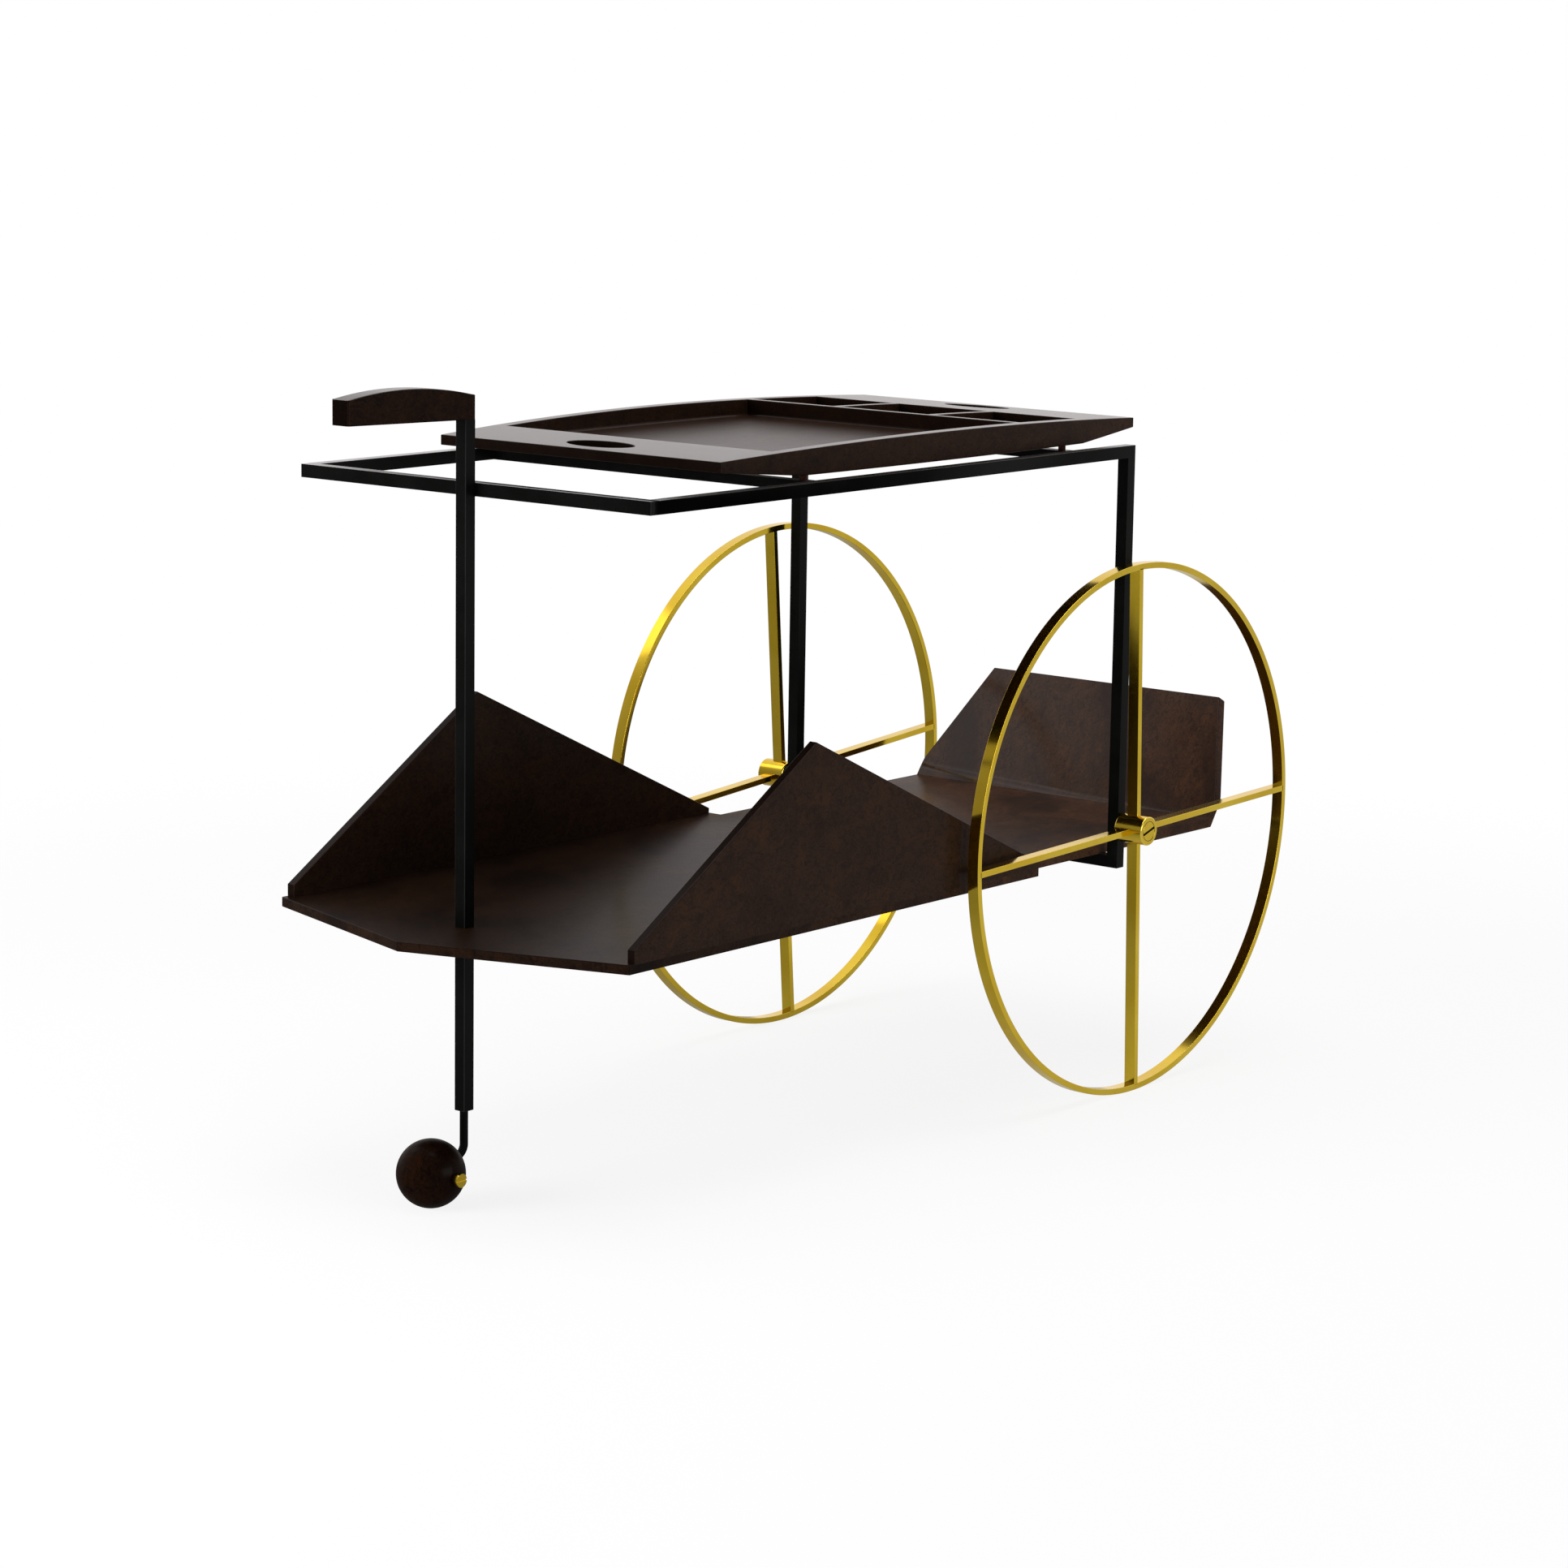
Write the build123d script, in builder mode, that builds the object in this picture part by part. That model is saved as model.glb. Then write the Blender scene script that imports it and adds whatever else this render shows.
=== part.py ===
"""Tea trolley: a steel bar frame on two big spoked wheels and one ball castor,
with a lift-off wooden tray above and a wooden shelf with peaked sides below.

Millimetres, +Z up. +X runs from the hand grip to the wheels, and -Y is the right side.
The origin is on the floor, under the middle of the trolley's length and width.
"""

import os
from math import atan2, cos, radians, sin, sqrt, tan

from build123d import *

os.makedirs("parts", exist_ok=True)

# Frame of square steel bar
bar = 12.7
frame_length = 756.5
frame_width = 442.5
frame_height = 675.5
crossbar_height = 10.0
crossbar_front_setback = 256.0
crossbar_rear_inset = 83.5
leg_below_axle = 43.25

# Single post at the grip end
post_foot_height = 80.2
post_head_rise = 58.9
post_foot_chamfer = 0.8
post_hole_clearance = 0.2

# Wooden hand grip, arched on top
grip_length = 169.0
grip_width = 21.3
grip_rise = 3.7
grip_front_height = 23.1
grip_rear_height = 21.6
grip_crown_height = 32.7
grip_crown_setback = 88.0
grip_front_radius = 2.5
grip_rear_radius = 8.0
stud_diameter = 6.0
stud_in_post = 20.0
stud_in_grip = 12.0
fixed_clearance = 0.05

# Lower shelf, one bent board
board = 9.5
shelf_side_overhang = 2.25
shelf_nose_reach = 96.6
shelf_shoulder_reach = 26.2
shelf_step_inset = 153.7
shelf_leg_clearance = 10.45
shelf_fold_overhang = 192.1
tail_run = 81.6
tail_rise = 118.7
tail_taper = 45.3
tail_shoulder_rise = 16.5
tail_shoulder_radius = 20.0
board_edge_break = 0.8

# Peaked side panels that stand on the shelf
panel_front_reach = 18.9
panel_front_height = 11.9
panel_peak_setback = 239.6
panel_peak_height = 172.3
panel_rear_height = 5.2
panel_rebate_depth = 1.0
panel_screw_shares = (0.16, 0.33, 0.5, 0.67, 0.84)

# Wood screws
screw_diameter = 3.0
screw_head_diameter = 6.0
screw_head_angle = 90.0
screw_tip_length = 3.0
screw_in_panel = 14.0
screw_in_shelf = 6.0
shelf_screw_spread_share = 0.5

# Big wheels of brass flat bar
wheel_radius = 278.25
rim_width = 12.7
rim_thickness = 6.35
spoke_thickness = 6.35
spoke_count = 4
wheel_stand_off = 22.25
wheel_angle_right = 1.8
wheel_angle_left = 4.5

# Hubs and stub axles
hub_diameter = 30.0
hub_stand_off = 34.95
hub_edge_break = 0.8
hub_bush_diameter = 16.0
axle_diameter = 12.0
axle_spigot_diameter = 6.0
running_clearance = 0.05
side_clearance = 0.1
washer_diameter = 24.0
washer_thickness = 1.2
hub_screw_head_diameter = 20.0
hub_screw_head_thickness = 5.0
hub_screw_diameter = 6.0
hub_screw_length = 14.0
hub_screw_slot_width = 2.4
hub_screw_slot_depth = 2.0
hub_screw_slot_angle = 17.0
hub_screw_clearance = 0.3

# Castor: a bent rod that swivels in the post, and a wooden ball beside its rounded end
stem_diameter = 8.0
stem_bend_radius = 15.0
stem_rise_in_post = 37.8
swivel_bush_diameter = 10.0
swivel_bush_length = 26.0
ring_diameter = 9.6
ring_thickness = 1.0
ring_groove_diameter = 6.8
thrust_clearance = 0.1
ball_diameter = 65.6
ball_trail = 58.95
ball_offset = 13.5
ball_pole_diameter = 12.0
ball_bush_diameter = 7.0
ball_axle_diameter = 4.0
ball_axle_in_rod = 6.5
ball_axle_collar_diameter = 10.6
ball_axle_collar_thickness = 4.5
ball_axle_head_diameter = 13.2
ball_axle_head_thickness = 3.0
ball_axle_slot_width = 1.6
ball_axle_slot_depth = 1.2
ball_washer_thickness = 1.0
rod_ball_clearance = 1.0
rod_end_run = 10.0

# Tray, arched along its length, with bowed sides
tray_front_setback = 147.0
tray_rear_overhang = 57.5
tray_side_inset = 43.25
tray_side_bow = 13.2
tray_end_edge = 10.0
tray_end_height = 20.0
tray_crown = 8.5
tray_front_wedge = 112.0
tray_rear_wedge = 99.0
tray_wall = 15.0
tray_end_board = 85.0
tray_rear_board = 94.0
tray_floor_thickness = 10.0
divider = 9.0
divider_long_setback = 204.0
divider_spread = 62.0
divider_groove_depth = 2.0
slot_length = 80.0
slot_width = 38.0
slot_inset = 34.0
peg_diameter = 7.5
peg_side_inset = 4.5
peg_setback = 2.4
peg_height = 4.2
peg_tenon_diameter = 5.0
peg_tenon_length = 12.0

# Overrun that lets a cut pass clear through
overrun = 1.0

# Tail of the shelf: its slope, and how far its outer corner lies behind the fold
tail_slope = atan2(tail_rise, tail_run)
tail_corner_offset = board * tan(tail_slope / 2)

# Length of the whole trolley, from the grip's front end to what reaches furthest back
axle_setback = frame_length - bar / 2
shelf_fold_setback = frame_length + shelf_fold_overhang
tail_back_reach = shelf_fold_setback + tail_run + board * sin(tail_slope)
wheel_back_reach = axle_setback + wheel_radius
rear_reach = max(tail_back_reach, wheel_back_reach)
front_x = (grip_length - rear_reach) / 2

# Places along X, counted from the frame's front face
frame_rear_x = front_x + frame_length
axle_x = front_x + axle_setback
post_x = front_x - bar / 2
shelf_step_x = frame_rear_x - shelf_step_inset
shelf_fold_x = front_x + shelf_fold_setback
crossbar_front_x = front_x + crossbar_front_setback
crossbar_rear_x = frame_rear_x - crossbar_rear_inset

# Heights and half widths that several pieces share
rail_bottom = frame_height - bar
rail_outer = frame_width / 2
rail_inner = rail_outer - bar
crossbar_top = rail_bottom + crossbar_height
post_head_height = frame_height + post_head_rise
axle_height = wheel_radius
leg_foot_height = axle_height - leg_below_axle
shelf_bottom = leg_foot_height + bar
shelf_top = shelf_bottom + board
shelf_half_width = rail_outer + shelf_side_overhang
shelf_narrow_half_width = rail_inner - shelf_leg_clearance
tail_top_half_width = shelf_narrow_half_width - tail_taper
wheel_outer_face = rail_outer + wheel_stand_off
hub_outer_face = rail_outer + hub_stand_off


def keep(piece, name):
    piece.label = name
    export_step(piece, f"parts/{name}.step")


def straight_bar(x_from, x_to, y_from, y_to, z_from, z_to):
    """A square-edged bar between two values on each axis."""
    with BuildPart() as piece:
        with BuildSketch(Plane.XY.offset(z_from)):
            with Locations(((x_from + x_to) / 2, (y_from + y_to) / 2)):
                Rectangle(x_to - x_from, y_to - y_from)
        extrude(amount=z_to - z_from)
    return piece.part


def side_plane(x, y, z, side):
    """A plane square to Y whose normal points outward on the given side."""
    return Plane(origin=(x, y, z), x_dir=(1, 0, 0), z_dir=(0, side, 0))


# The frame's rails, crossbars and legs, welded end to face
end_rail = straight_bar(front_x, front_x + bar, -rail_outer, rail_outer, rail_bottom, frame_height)
keep(end_rail, "end_rail")

tray_crossbars = {"tray_crossbar_front": crossbar_front_x, "tray_crossbar_rear": crossbar_rear_x}
for name, start_x in tray_crossbars.items():
    crossbar = straight_bar(
        start_x, start_x + bar, -rail_inner, rail_inner, rail_bottom, crossbar_top
    )
    keep(crossbar, name)

sides = {"right": -1, "left": 1}
for side_name, side in sides.items():
    bar_edges = sorted((side * rail_inner, side * rail_outer))
    side_rail = straight_bar(
        front_x + bar, frame_rear_x, bar_edges[0], bar_edges[1], rail_bottom, frame_height
    )
    keep(side_rail, f"side_rail_{side_name}")

    with BuildPart() as rear_leg:
        with BuildSketch(Plane.XY.offset(leg_foot_height)):
            with Locations((axle_x, (bar_edges[0] + bar_edges[1]) / 2)):
                Rectangle(bar, bar)
        extrude(amount=rail_bottom - leg_foot_height)
        with BuildSketch(side_plane(axle_x, side * rail_outer, axle_height, side)):
            Circle(axle_spigot_diameter / 2 + fixed_clearance)
        extrude(amount=-bar - overrun, mode=Mode.SUBTRACT)
    keep(rear_leg.part, f"rear_leg_{side_name}")

shelf_screw_y = rail_inner * shelf_screw_spread_share
shelf_screw_places = [(axle_x, -shelf_screw_y), (axle_x, shelf_screw_y)]

with BuildPart() as shelf_crossbar:
    with BuildSketch(Plane.XY.offset(leg_foot_height)):
        with Locations((axle_x, 0)):
            Rectangle(bar, rail_inner * 2)
    extrude(amount=bar)
    with Locations(Plane.XY.offset(leg_foot_height)):
        with Locations([Location((x, y, 0), (180, 0, 0)) for x, y in shelf_screw_places]):
            CounterSinkHole(
                radius=screw_diameter / 2 + fixed_clearance,
                counter_sink_radius=screw_head_diameter / 2 + fixed_clearance,
                counter_sink_angle=screw_head_angle,
                depth=bar + overrun,
            )
keep(shelf_crossbar.part, "shelf_crossbar")

# The post: bored at its foot for the castor, and at its head for the grip's stud
stem_top_height = post_foot_height + stem_rise_in_post
bore_top = stem_top_height + thrust_clearance

with BuildPart() as front_post:
    with BuildSketch(Plane.XY.offset(post_foot_height)):
        with Locations((post_x, 0)):
            Rectangle(bar, bar)
    extrude(amount=post_head_height - post_foot_height)
    chamfer(front_post.edges().group_by(Axis.Z)[0], length=post_foot_chamfer)
    with BuildSketch(Plane.XY.offset(post_foot_height)):
        with Locations((post_x, 0)):
            Circle(swivel_bush_diameter / 2 + fixed_clearance)
    extrude(amount=bore_top - post_foot_height, mode=Mode.SUBTRACT)
    with BuildSketch(Plane.XY.offset(post_head_height)):
        with Locations((post_x, 0)):
            Circle(stud_diameter / 2 + fixed_clearance)
    extrude(amount=-stud_in_post, mode=Mode.SUBTRACT)
keep(front_post.part, "front_post")

with BuildPart() as grip_stud:
    with BuildSketch(Plane.XY.offset(post_head_height - stud_in_post)):
        with Locations((post_x, 0)):
            Circle(stud_diameter / 2)
    extrude(amount=stud_in_post + stud_in_grip)
keep(grip_stud.part, "grip_stud")

# The grip: flat on the post, then rising a little to its front end, under an arched top
grip_front_x = front_x - grip_length
grip_front_bottom = post_head_height + grip_rise

with BuildPart() as handle_grip:
    with BuildSketch(Plane.XZ.offset(-grip_width / 2)):
        with BuildLine():
            Polyline(
                (grip_front_x, grip_front_bottom + grip_front_height),
                (grip_front_x, grip_front_bottom),
                (front_x - bar, post_head_height),
                (front_x, post_head_height),
                (front_x, post_head_height + grip_rear_height),
            )
            ThreePointArc(
                (front_x, post_head_height + grip_rear_height),
                (front_x - grip_crown_setback, post_head_height + grip_crown_height),
                (grip_front_x, grip_front_bottom + grip_front_height),
            )
        make_face()
    extrude(amount=grip_width)
    rear_edges = handle_grip.edges().filter_by(Axis.Z).group_by(Axis.X)[-1]
    fillet(rear_edges, radius=grip_rear_radius)
    front_edges = handle_grip.edges().filter_by(Axis.Z).group_by(Axis.X)[0]
    fillet(front_edges, radius=grip_front_radius)
    with BuildSketch(Plane.XY.offset(post_head_height)):
        with Locations((post_x, 0)):
            Circle(stud_diameter / 2 + fixed_clearance)
    extrude(amount=stud_in_grip + fixed_clearance, mode=Mode.SUBTRACT)
keep(handle_grip.part, "handle_grip")

# Screw places under the side panels
panel_front_x = front_x - panel_front_reach
panel_length = shelf_step_x - panel_front_x
panel_middle_x = (panel_front_x + shelf_step_x) / 2
panel_bottom = shelf_top - panel_rebate_depth
panel_screw_y = shelf_half_width - board / 2
panel_screw_places = [
    (panel_front_x + panel_length * share, side * panel_screw_y)
    for side in sides.values()
    for share in panel_screw_shares
]

# The shelf: pointed nose, square hole for the post, rebates for the side panels, a step in
# each edge and the upturned tail
shelf_outline = [
    (front_x - shelf_nose_reach, 0),
    (front_x - shelf_shoulder_reach, -shelf_half_width),
    (shelf_step_x, -shelf_half_width),
    (shelf_step_x, shelf_half_width),
    (front_x - shelf_shoulder_reach, shelf_half_width),
]
tail_outer_x = shelf_fold_x + tail_corner_offset
tail_normal_x = board * sin(tail_slope)
tail_normal_z = board * cos(tail_slope)
tail_top_x = shelf_fold_x + tail_run
tail_top_z = shelf_top + tail_rise
tail_shoulder_z = shelf_top + tail_shoulder_rise

with BuildPart() as shelf_board:
    with BuildSketch(Plane.XY.offset(shelf_bottom)):
        with BuildLine():
            Polyline(*shelf_outline, close=True)
        make_face()
    extrude(amount=board)
    with BuildSketch(Plane.XZ.offset(-shelf_narrow_half_width)):
        with BuildLine():
            Polyline(
                (axle_x, shelf_bottom),
                (tail_outer_x, shelf_bottom),
                (tail_top_x + tail_normal_x, tail_top_z - tail_normal_z),
                (tail_top_x, tail_top_z),
                (shelf_fold_x, shelf_top),
                (axle_x, shelf_top),
                close=True,
            )
        make_face()
    extrude(amount=shelf_narrow_half_width * 2)
    with BuildSketch(Plane.XY.offset(shelf_bottom)):
        with Locations(((shelf_step_x + axle_x) / 2, 0)):
            Rectangle(axle_x - shelf_step_x, shelf_narrow_half_width * 2)
    extrude(amount=board)
    with BuildSketch(Plane.YZ.offset(shelf_fold_x - board)):
        for side in sides.values():
            with BuildLine():
                Polyline(
                    (side * shelf_narrow_half_width, shelf_top),
                    (side * shelf_narrow_half_width, tail_shoulder_z),
                    (side * tail_top_half_width, tail_top_z),
                    (side * tail_top_half_width, tail_top_z + board),
                    (side * shelf_half_width, tail_top_z + board),
                    (side * shelf_half_width, shelf_top),
                    close=True,
                )
            make_face()
            shoulder = (side * shelf_narrow_half_width, tail_shoulder_z)
            fillet(vertices().sort_by_distance(shoulder)[0], radius=tail_shoulder_radius)
    extrude(amount=tail_run + board * 3, mode=Mode.SUBTRACT)
    with BuildSketch(Plane.XY.offset(shelf_bottom)):
        with Locations((post_x, 0)):
            Rectangle(bar + post_hole_clearance * 2, bar + post_hole_clearance * 2)
    extrude(amount=board, mode=Mode.SUBTRACT)
    with BuildSketch(Plane.XY.offset(shelf_top)):
        with Locations(*[(panel_middle_x, side * panel_screw_y) for side in sides.values()]):
            Rectangle(panel_length, board)
    extrude(amount=-panel_rebate_depth, mode=Mode.SUBTRACT)
    with Locations([Location((x, y, shelf_bottom), (180, 0, 0)) for x, y in panel_screw_places]):
        CounterSinkHole(
            radius=screw_diameter / 2 + fixed_clearance,
            counter_sink_radius=screw_head_diameter / 2 + fixed_clearance,
            counter_sink_angle=screw_head_angle,
            depth=board - panel_rebate_depth,
        )
    with BuildSketch(Plane.XY.offset(shelf_bottom)):
        with Locations(*shelf_screw_places):
            Circle(screw_diameter / 2 + fixed_clearance)
    extrude(amount=screw_in_shelf + fixed_clearance, mode=Mode.SUBTRACT)
keep(shelf_board.part, "shelf_board")

# The side panels, let into the shelf's rebates: low at the front, a peak over the front
# third, then a long slope back
for side_name, side in sides.items():
    panel_outer_y = side * shelf_half_width
    with BuildPart() as side_panel:
        with BuildSketch(Plane.XZ.offset(-panel_outer_y)):
            with BuildLine():
                Polyline(
                    (panel_front_x, panel_bottom),
                    (panel_front_x, shelf_top + panel_front_height),
                    (front_x + panel_peak_setback, shelf_top + panel_peak_height),
                    (shelf_step_x, shelf_top + panel_rear_height),
                    (shelf_step_x, panel_bottom),
                    close=True,
                )
            make_face()
        extrude(amount=side * board)
        shown_edges = side_panel.edges().filter_by_position(
            Axis.Z, panel_bottom + board_edge_break, shelf_top + panel_peak_height
        )
        chamfer(
            shown_edges.filter_by(GeomType.LINE).filter_by(Axis.Y, reverse=True),
            length=board_edge_break,
        )
        with BuildSketch(Plane.XY.offset(panel_bottom)):
            with Locations(*[(x, y) for x, y in panel_screw_places if y * side > 0]):
                Circle(screw_diameter / 2 + fixed_clearance)
        extrude(amount=screw_in_panel + fixed_clearance, mode=Mode.SUBTRACT)
    keep(side_panel.part, f"side_panel_{side_name}")


screw_head_overhang = (screw_head_diameter - screw_diameter) / 2
screw_head_height = screw_head_overhang / tan(radians(screw_head_angle / 2))


def wood_screws(places, head_z, length):
    """Countersunk screws that point up, with their heads' flat faces at head_z."""
    with BuildPart() as screws:
        for x, y in places:
            with BuildSketch(Plane.XZ.offset(-y)):
                with BuildLine():
                    Polyline(
                        (x, head_z),
                        (x + screw_head_diameter / 2, head_z),
                        (x + screw_diameter / 2, head_z + screw_head_height),
                        (x + screw_diameter / 2, head_z + length - screw_tip_length),
                        (x, head_z + length),
                        close=True,
                    )
                make_face()
            revolve(axis=Axis((x, y, 0), (0, 0, 1)))
    return screws.part


panel_screw_length = panel_bottom - shelf_bottom + screw_in_panel
panel_screws = wood_screws(panel_screw_places, shelf_bottom, panel_screw_length)
keep(panel_screws, "panel_screws")

shelf_screws = wood_screws(shelf_screw_places, leg_foot_height, bar + screw_in_shelf)
keep(shelf_screws, "shelf_screws")

# Wheels, hubs, stub axles and the slotted screws that keep the wheels on
rim_inner_radius = wheel_radius - rim_thickness
hub_radius = hub_diameter / 2
wheel_angles = {"right": wheel_angle_right, "left": wheel_angle_left}
hub_inner_face = rail_outer + washer_thickness + side_clearance
hub_screw_seat = hub_outer_face - hub_screw_head_thickness
hub_recess_depth = hub_screw_head_thickness + side_clearance

for side_name, side in sides.items():
    wheel_plane = side_plane(axle_x, side * wheel_outer_face, axle_height, side)
    hub_plane = side_plane(axle_x, side * hub_outer_face, axle_height, side)
    leg_plane = side_plane(axle_x, side * rail_outer, axle_height, side)
    inner_plane = side_plane(axle_x, side * hub_inner_face, axle_height, side)
    seat_plane = side_plane(axle_x, side * hub_screw_seat, axle_height, side)

    with BuildPart() as wheel_rim:
        with BuildSketch(wheel_plane):
            Circle(wheel_radius)
            Circle(rim_inner_radius, mode=Mode.SUBTRACT)
        extrude(amount=-rim_width)
    keep(wheel_rim.part, f"wheel_rim_{side_name}")

    # Each spoke is cut to the hub's and the rim's curves, and runs between them
    for number in range(spoke_count):
        turn = wheel_angles[side_name] + number * 360 / spoke_count
        with BuildPart() as spoke:
            with BuildSketch(wheel_plane):
                with Locations(Location((0, 0), -side * turn)):
                    with Locations((wheel_radius / 2, 0)):
                        Rectangle(wheel_radius, spoke_thickness)
                Circle(hub_radius, mode=Mode.SUBTRACT)
                Circle(rim_inner_radius, mode=Mode.INTERSECT)
            extrude(amount=-rim_width)
        keep(spoke.part, f"spoke_{side_name}_{number + 1}")

    with BuildPart() as wheel_hub:
        with BuildSketch(hub_plane):
            Circle(hub_radius)
            Circle(hub_bush_diameter / 2, mode=Mode.SUBTRACT)
        extrude(amount=-(hub_outer_face - hub_inner_face))
        with BuildSketch(hub_plane):
            Circle(hub_screw_head_diameter / 2 + hub_screw_clearance)
        extrude(amount=-hub_recess_depth, mode=Mode.SUBTRACT)
        rims = wheel_hub.edges().filter_by(GeomType.CIRCLE).sort_by(SortBy.RADIUS)[-2:]
        chamfer(rims, length=hub_edge_break)
    keep(wheel_hub.part, f"wheel_hub_{side_name}")

    with BuildPart() as hub_bush:
        with BuildSketch(inner_plane):
            Circle(hub_bush_diameter / 2)
            Circle(axle_diameter / 2 + running_clearance, mode=Mode.SUBTRACT)
        extrude(amount=hub_screw_seat - side_clearance - hub_inner_face)
    keep(hub_bush.part, f"hub_bush_{side_name}")

    with BuildPart() as axle:
        with BuildSketch(leg_plane):
            Circle(axle_spigot_diameter / 2)
        extrude(amount=-bar)
        with BuildSketch(leg_plane):
            Circle(axle_diameter / 2)
        extrude(amount=hub_screw_seat - rail_outer)
        with BuildSketch(seat_plane):
            Circle(hub_screw_diameter / 2 + fixed_clearance)
        extrude(amount=-hub_screw_length - fixed_clearance, mode=Mode.SUBTRACT)
    keep(axle.part, f"axle_{side_name}")

    with BuildPart() as axle_washer:
        with BuildSketch(leg_plane):
            Circle(washer_diameter / 2)
            Circle(axle_diameter / 2 + fixed_clearance, mode=Mode.SUBTRACT)
        extrude(amount=washer_thickness)
    keep(axle_washer.part, f"axle_washer_{side_name}")

    with BuildPart() as hub_screw:
        with BuildSketch(seat_plane):
            Circle(hub_screw_head_diameter / 2)
        extrude(amount=hub_screw_head_thickness)
        with BuildSketch(seat_plane):
            Circle(hub_screw_diameter / 2)
        extrude(amount=-hub_screw_length)
        with BuildSketch(hub_plane):
            with Locations(Location((0, 0), -side * hub_screw_slot_angle)):
                Rectangle(hub_screw_head_diameter + overrun, hub_screw_slot_width)
        extrude(amount=-hub_screw_slot_depth, mode=Mode.SUBTRACT)
    keep(hub_screw.part, f"hub_screw_{side_name}")

# The castor's bush and ring inside the post's foot
with BuildPart() as swivel_bush:
    with BuildSketch(Plane.XY.offset(post_foot_height)):
        with Locations((post_x, 0)):
            Circle(swivel_bush_diameter / 2)
            Circle(stem_diameter / 2 + running_clearance, mode=Mode.SUBTRACT)
    extrude(amount=swivel_bush_length)
keep(swivel_bush.part, "swivel_bush")

ring_bottom = post_foot_height + swivel_bush_length + side_clearance

with BuildPart() as stem_ring:
    with BuildSketch(Plane.XY.offset(ring_bottom)):
        with Locations((post_x, 0)):
            Circle(ring_diameter / 2)
            Circle(ring_groove_diameter / 2, mode=Mode.SUBTRACT)
    extrude(amount=ring_thickness)
keep(stem_ring.part, "stem_ring")

# The bent rod: down from the post, round under it, and back past the ball to its end
ball_radius = ball_diameter / 2
ball_x = post_x - ball_trail
ball_y = -ball_offset
ball_half_length = sqrt(ball_radius**2 - (ball_pole_diameter / 2) ** 2)
ball_left_face = ball_y + ball_half_length
ball_right_face = ball_y - ball_half_length
rod_inner_face = ball_left_face + ball_washer_thickness + side_clearance
rod_end_y = ball_y + ball_radius + rod_ball_clearance + stem_diameter / 2

with BuildPart() as castor_stem:
    with BuildLine() as stem_path:
        FilletPolyline(
            (post_x, 0, stem_top_height),
            (post_x, 0, ball_radius),
            (ball_x + rod_end_run, rod_end_y, ball_radius),
            (ball_x, rod_end_y, ball_radius),
            radius=stem_bend_radius,
        )
    with BuildSketch(Plane.XY.offset(stem_top_height)):
        with Locations((post_x, 0)):
            Circle(stem_diameter / 2)
    sweep(path=stem_path.wires()[0])
    with Locations((ball_x, rod_end_y, ball_radius)):
        Sphere(stem_diameter / 2)
    with BuildSketch(side_plane(ball_x, rod_inner_face, ball_radius, 1)):
        Circle(stem_diameter / 2)
    extrude(amount=rod_end_y - rod_inner_face)
    with BuildSketch(side_plane(ball_x, rod_inner_face, ball_radius, 1)):
        Circle(ball_axle_diameter / 2 + fixed_clearance)
    extrude(amount=ball_axle_in_rod + fixed_clearance, mode=Mode.SUBTRACT)
    with BuildSketch(Plane.XY.offset(ring_bottom)):
        with Locations((post_x, 0)):
            Circle(stem_diameter / 2 + overrun)
            Circle(ring_groove_diameter / 2, mode=Mode.SUBTRACT)
    extrude(amount=ring_thickness, mode=Mode.SUBTRACT)
keep(castor_stem.part, "castor_stem")

# The ball, flat at its two poles and bored for its bush
with BuildPart() as castor_ball:
    with Locations((ball_x, ball_y, ball_radius)):
        Sphere(ball_radius)
    with BuildSketch(side_plane(ball_x, ball_y, ball_radius, 1)):
        Circle(ball_radius + overrun)
    extrude(amount=ball_half_length, both=True, mode=Mode.INTERSECT)
    with BuildSketch(side_plane(ball_x, ball_y, ball_radius, 1)):
        Circle(ball_bush_diameter / 2)
    extrude(amount=ball_radius, both=True, mode=Mode.SUBTRACT)
keep(castor_ball.part, "castor_ball")

with BuildPart() as ball_bush:
    with BuildSketch(side_plane(ball_x, ball_y, ball_radius, 1)):
        Circle(ball_bush_diameter / 2)
        Circle(ball_axle_diameter / 2 + running_clearance, mode=Mode.SUBTRACT)
    extrude(amount=ball_half_length, both=True)
keep(ball_bush.part, "ball_bush")

with BuildPart() as ball_washer:
    with BuildSketch(side_plane(ball_x, rod_inner_face, ball_radius, 1)):
        Circle(ball_axle_collar_diameter / 2)
        Circle(ball_axle_diameter / 2 + fixed_clearance, mode=Mode.SUBTRACT)
    extrude(amount=-ball_washer_thickness)
keep(ball_washer.part, "ball_washer")

# The brass screw that the ball turns on, with its collar and slotted head outside
collar_face = ball_right_face - side_clearance
collar_end = collar_face - ball_axle_collar_thickness
head_end = collar_end - ball_axle_head_thickness

ball_axle_end = rod_inner_face + ball_axle_in_rod

with BuildPart() as ball_axle:
    with BuildSketch(side_plane(ball_x, ball_axle_end, ball_radius, -1)):
        Circle(ball_axle_diameter / 2)
    extrude(amount=ball_axle_end - collar_face)
    with BuildSketch(side_plane(ball_x, collar_face, ball_radius, -1)):
        Circle(ball_axle_collar_diameter / 2)
    extrude(amount=ball_axle_collar_thickness)
    with BuildSketch(side_plane(ball_x, collar_end, ball_radius, -1)):
        Circle(ball_axle_head_diameter / 2)
    extrude(amount=ball_axle_head_thickness)
    with BuildSketch(side_plane(ball_x, head_end, ball_radius, -1)):
        Rectangle(ball_axle_head_diameter + overrun, ball_axle_slot_width)
    extrude(amount=-ball_axle_slot_depth, mode=Mode.SUBTRACT)
keep(ball_axle.part, "ball_axle")

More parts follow.
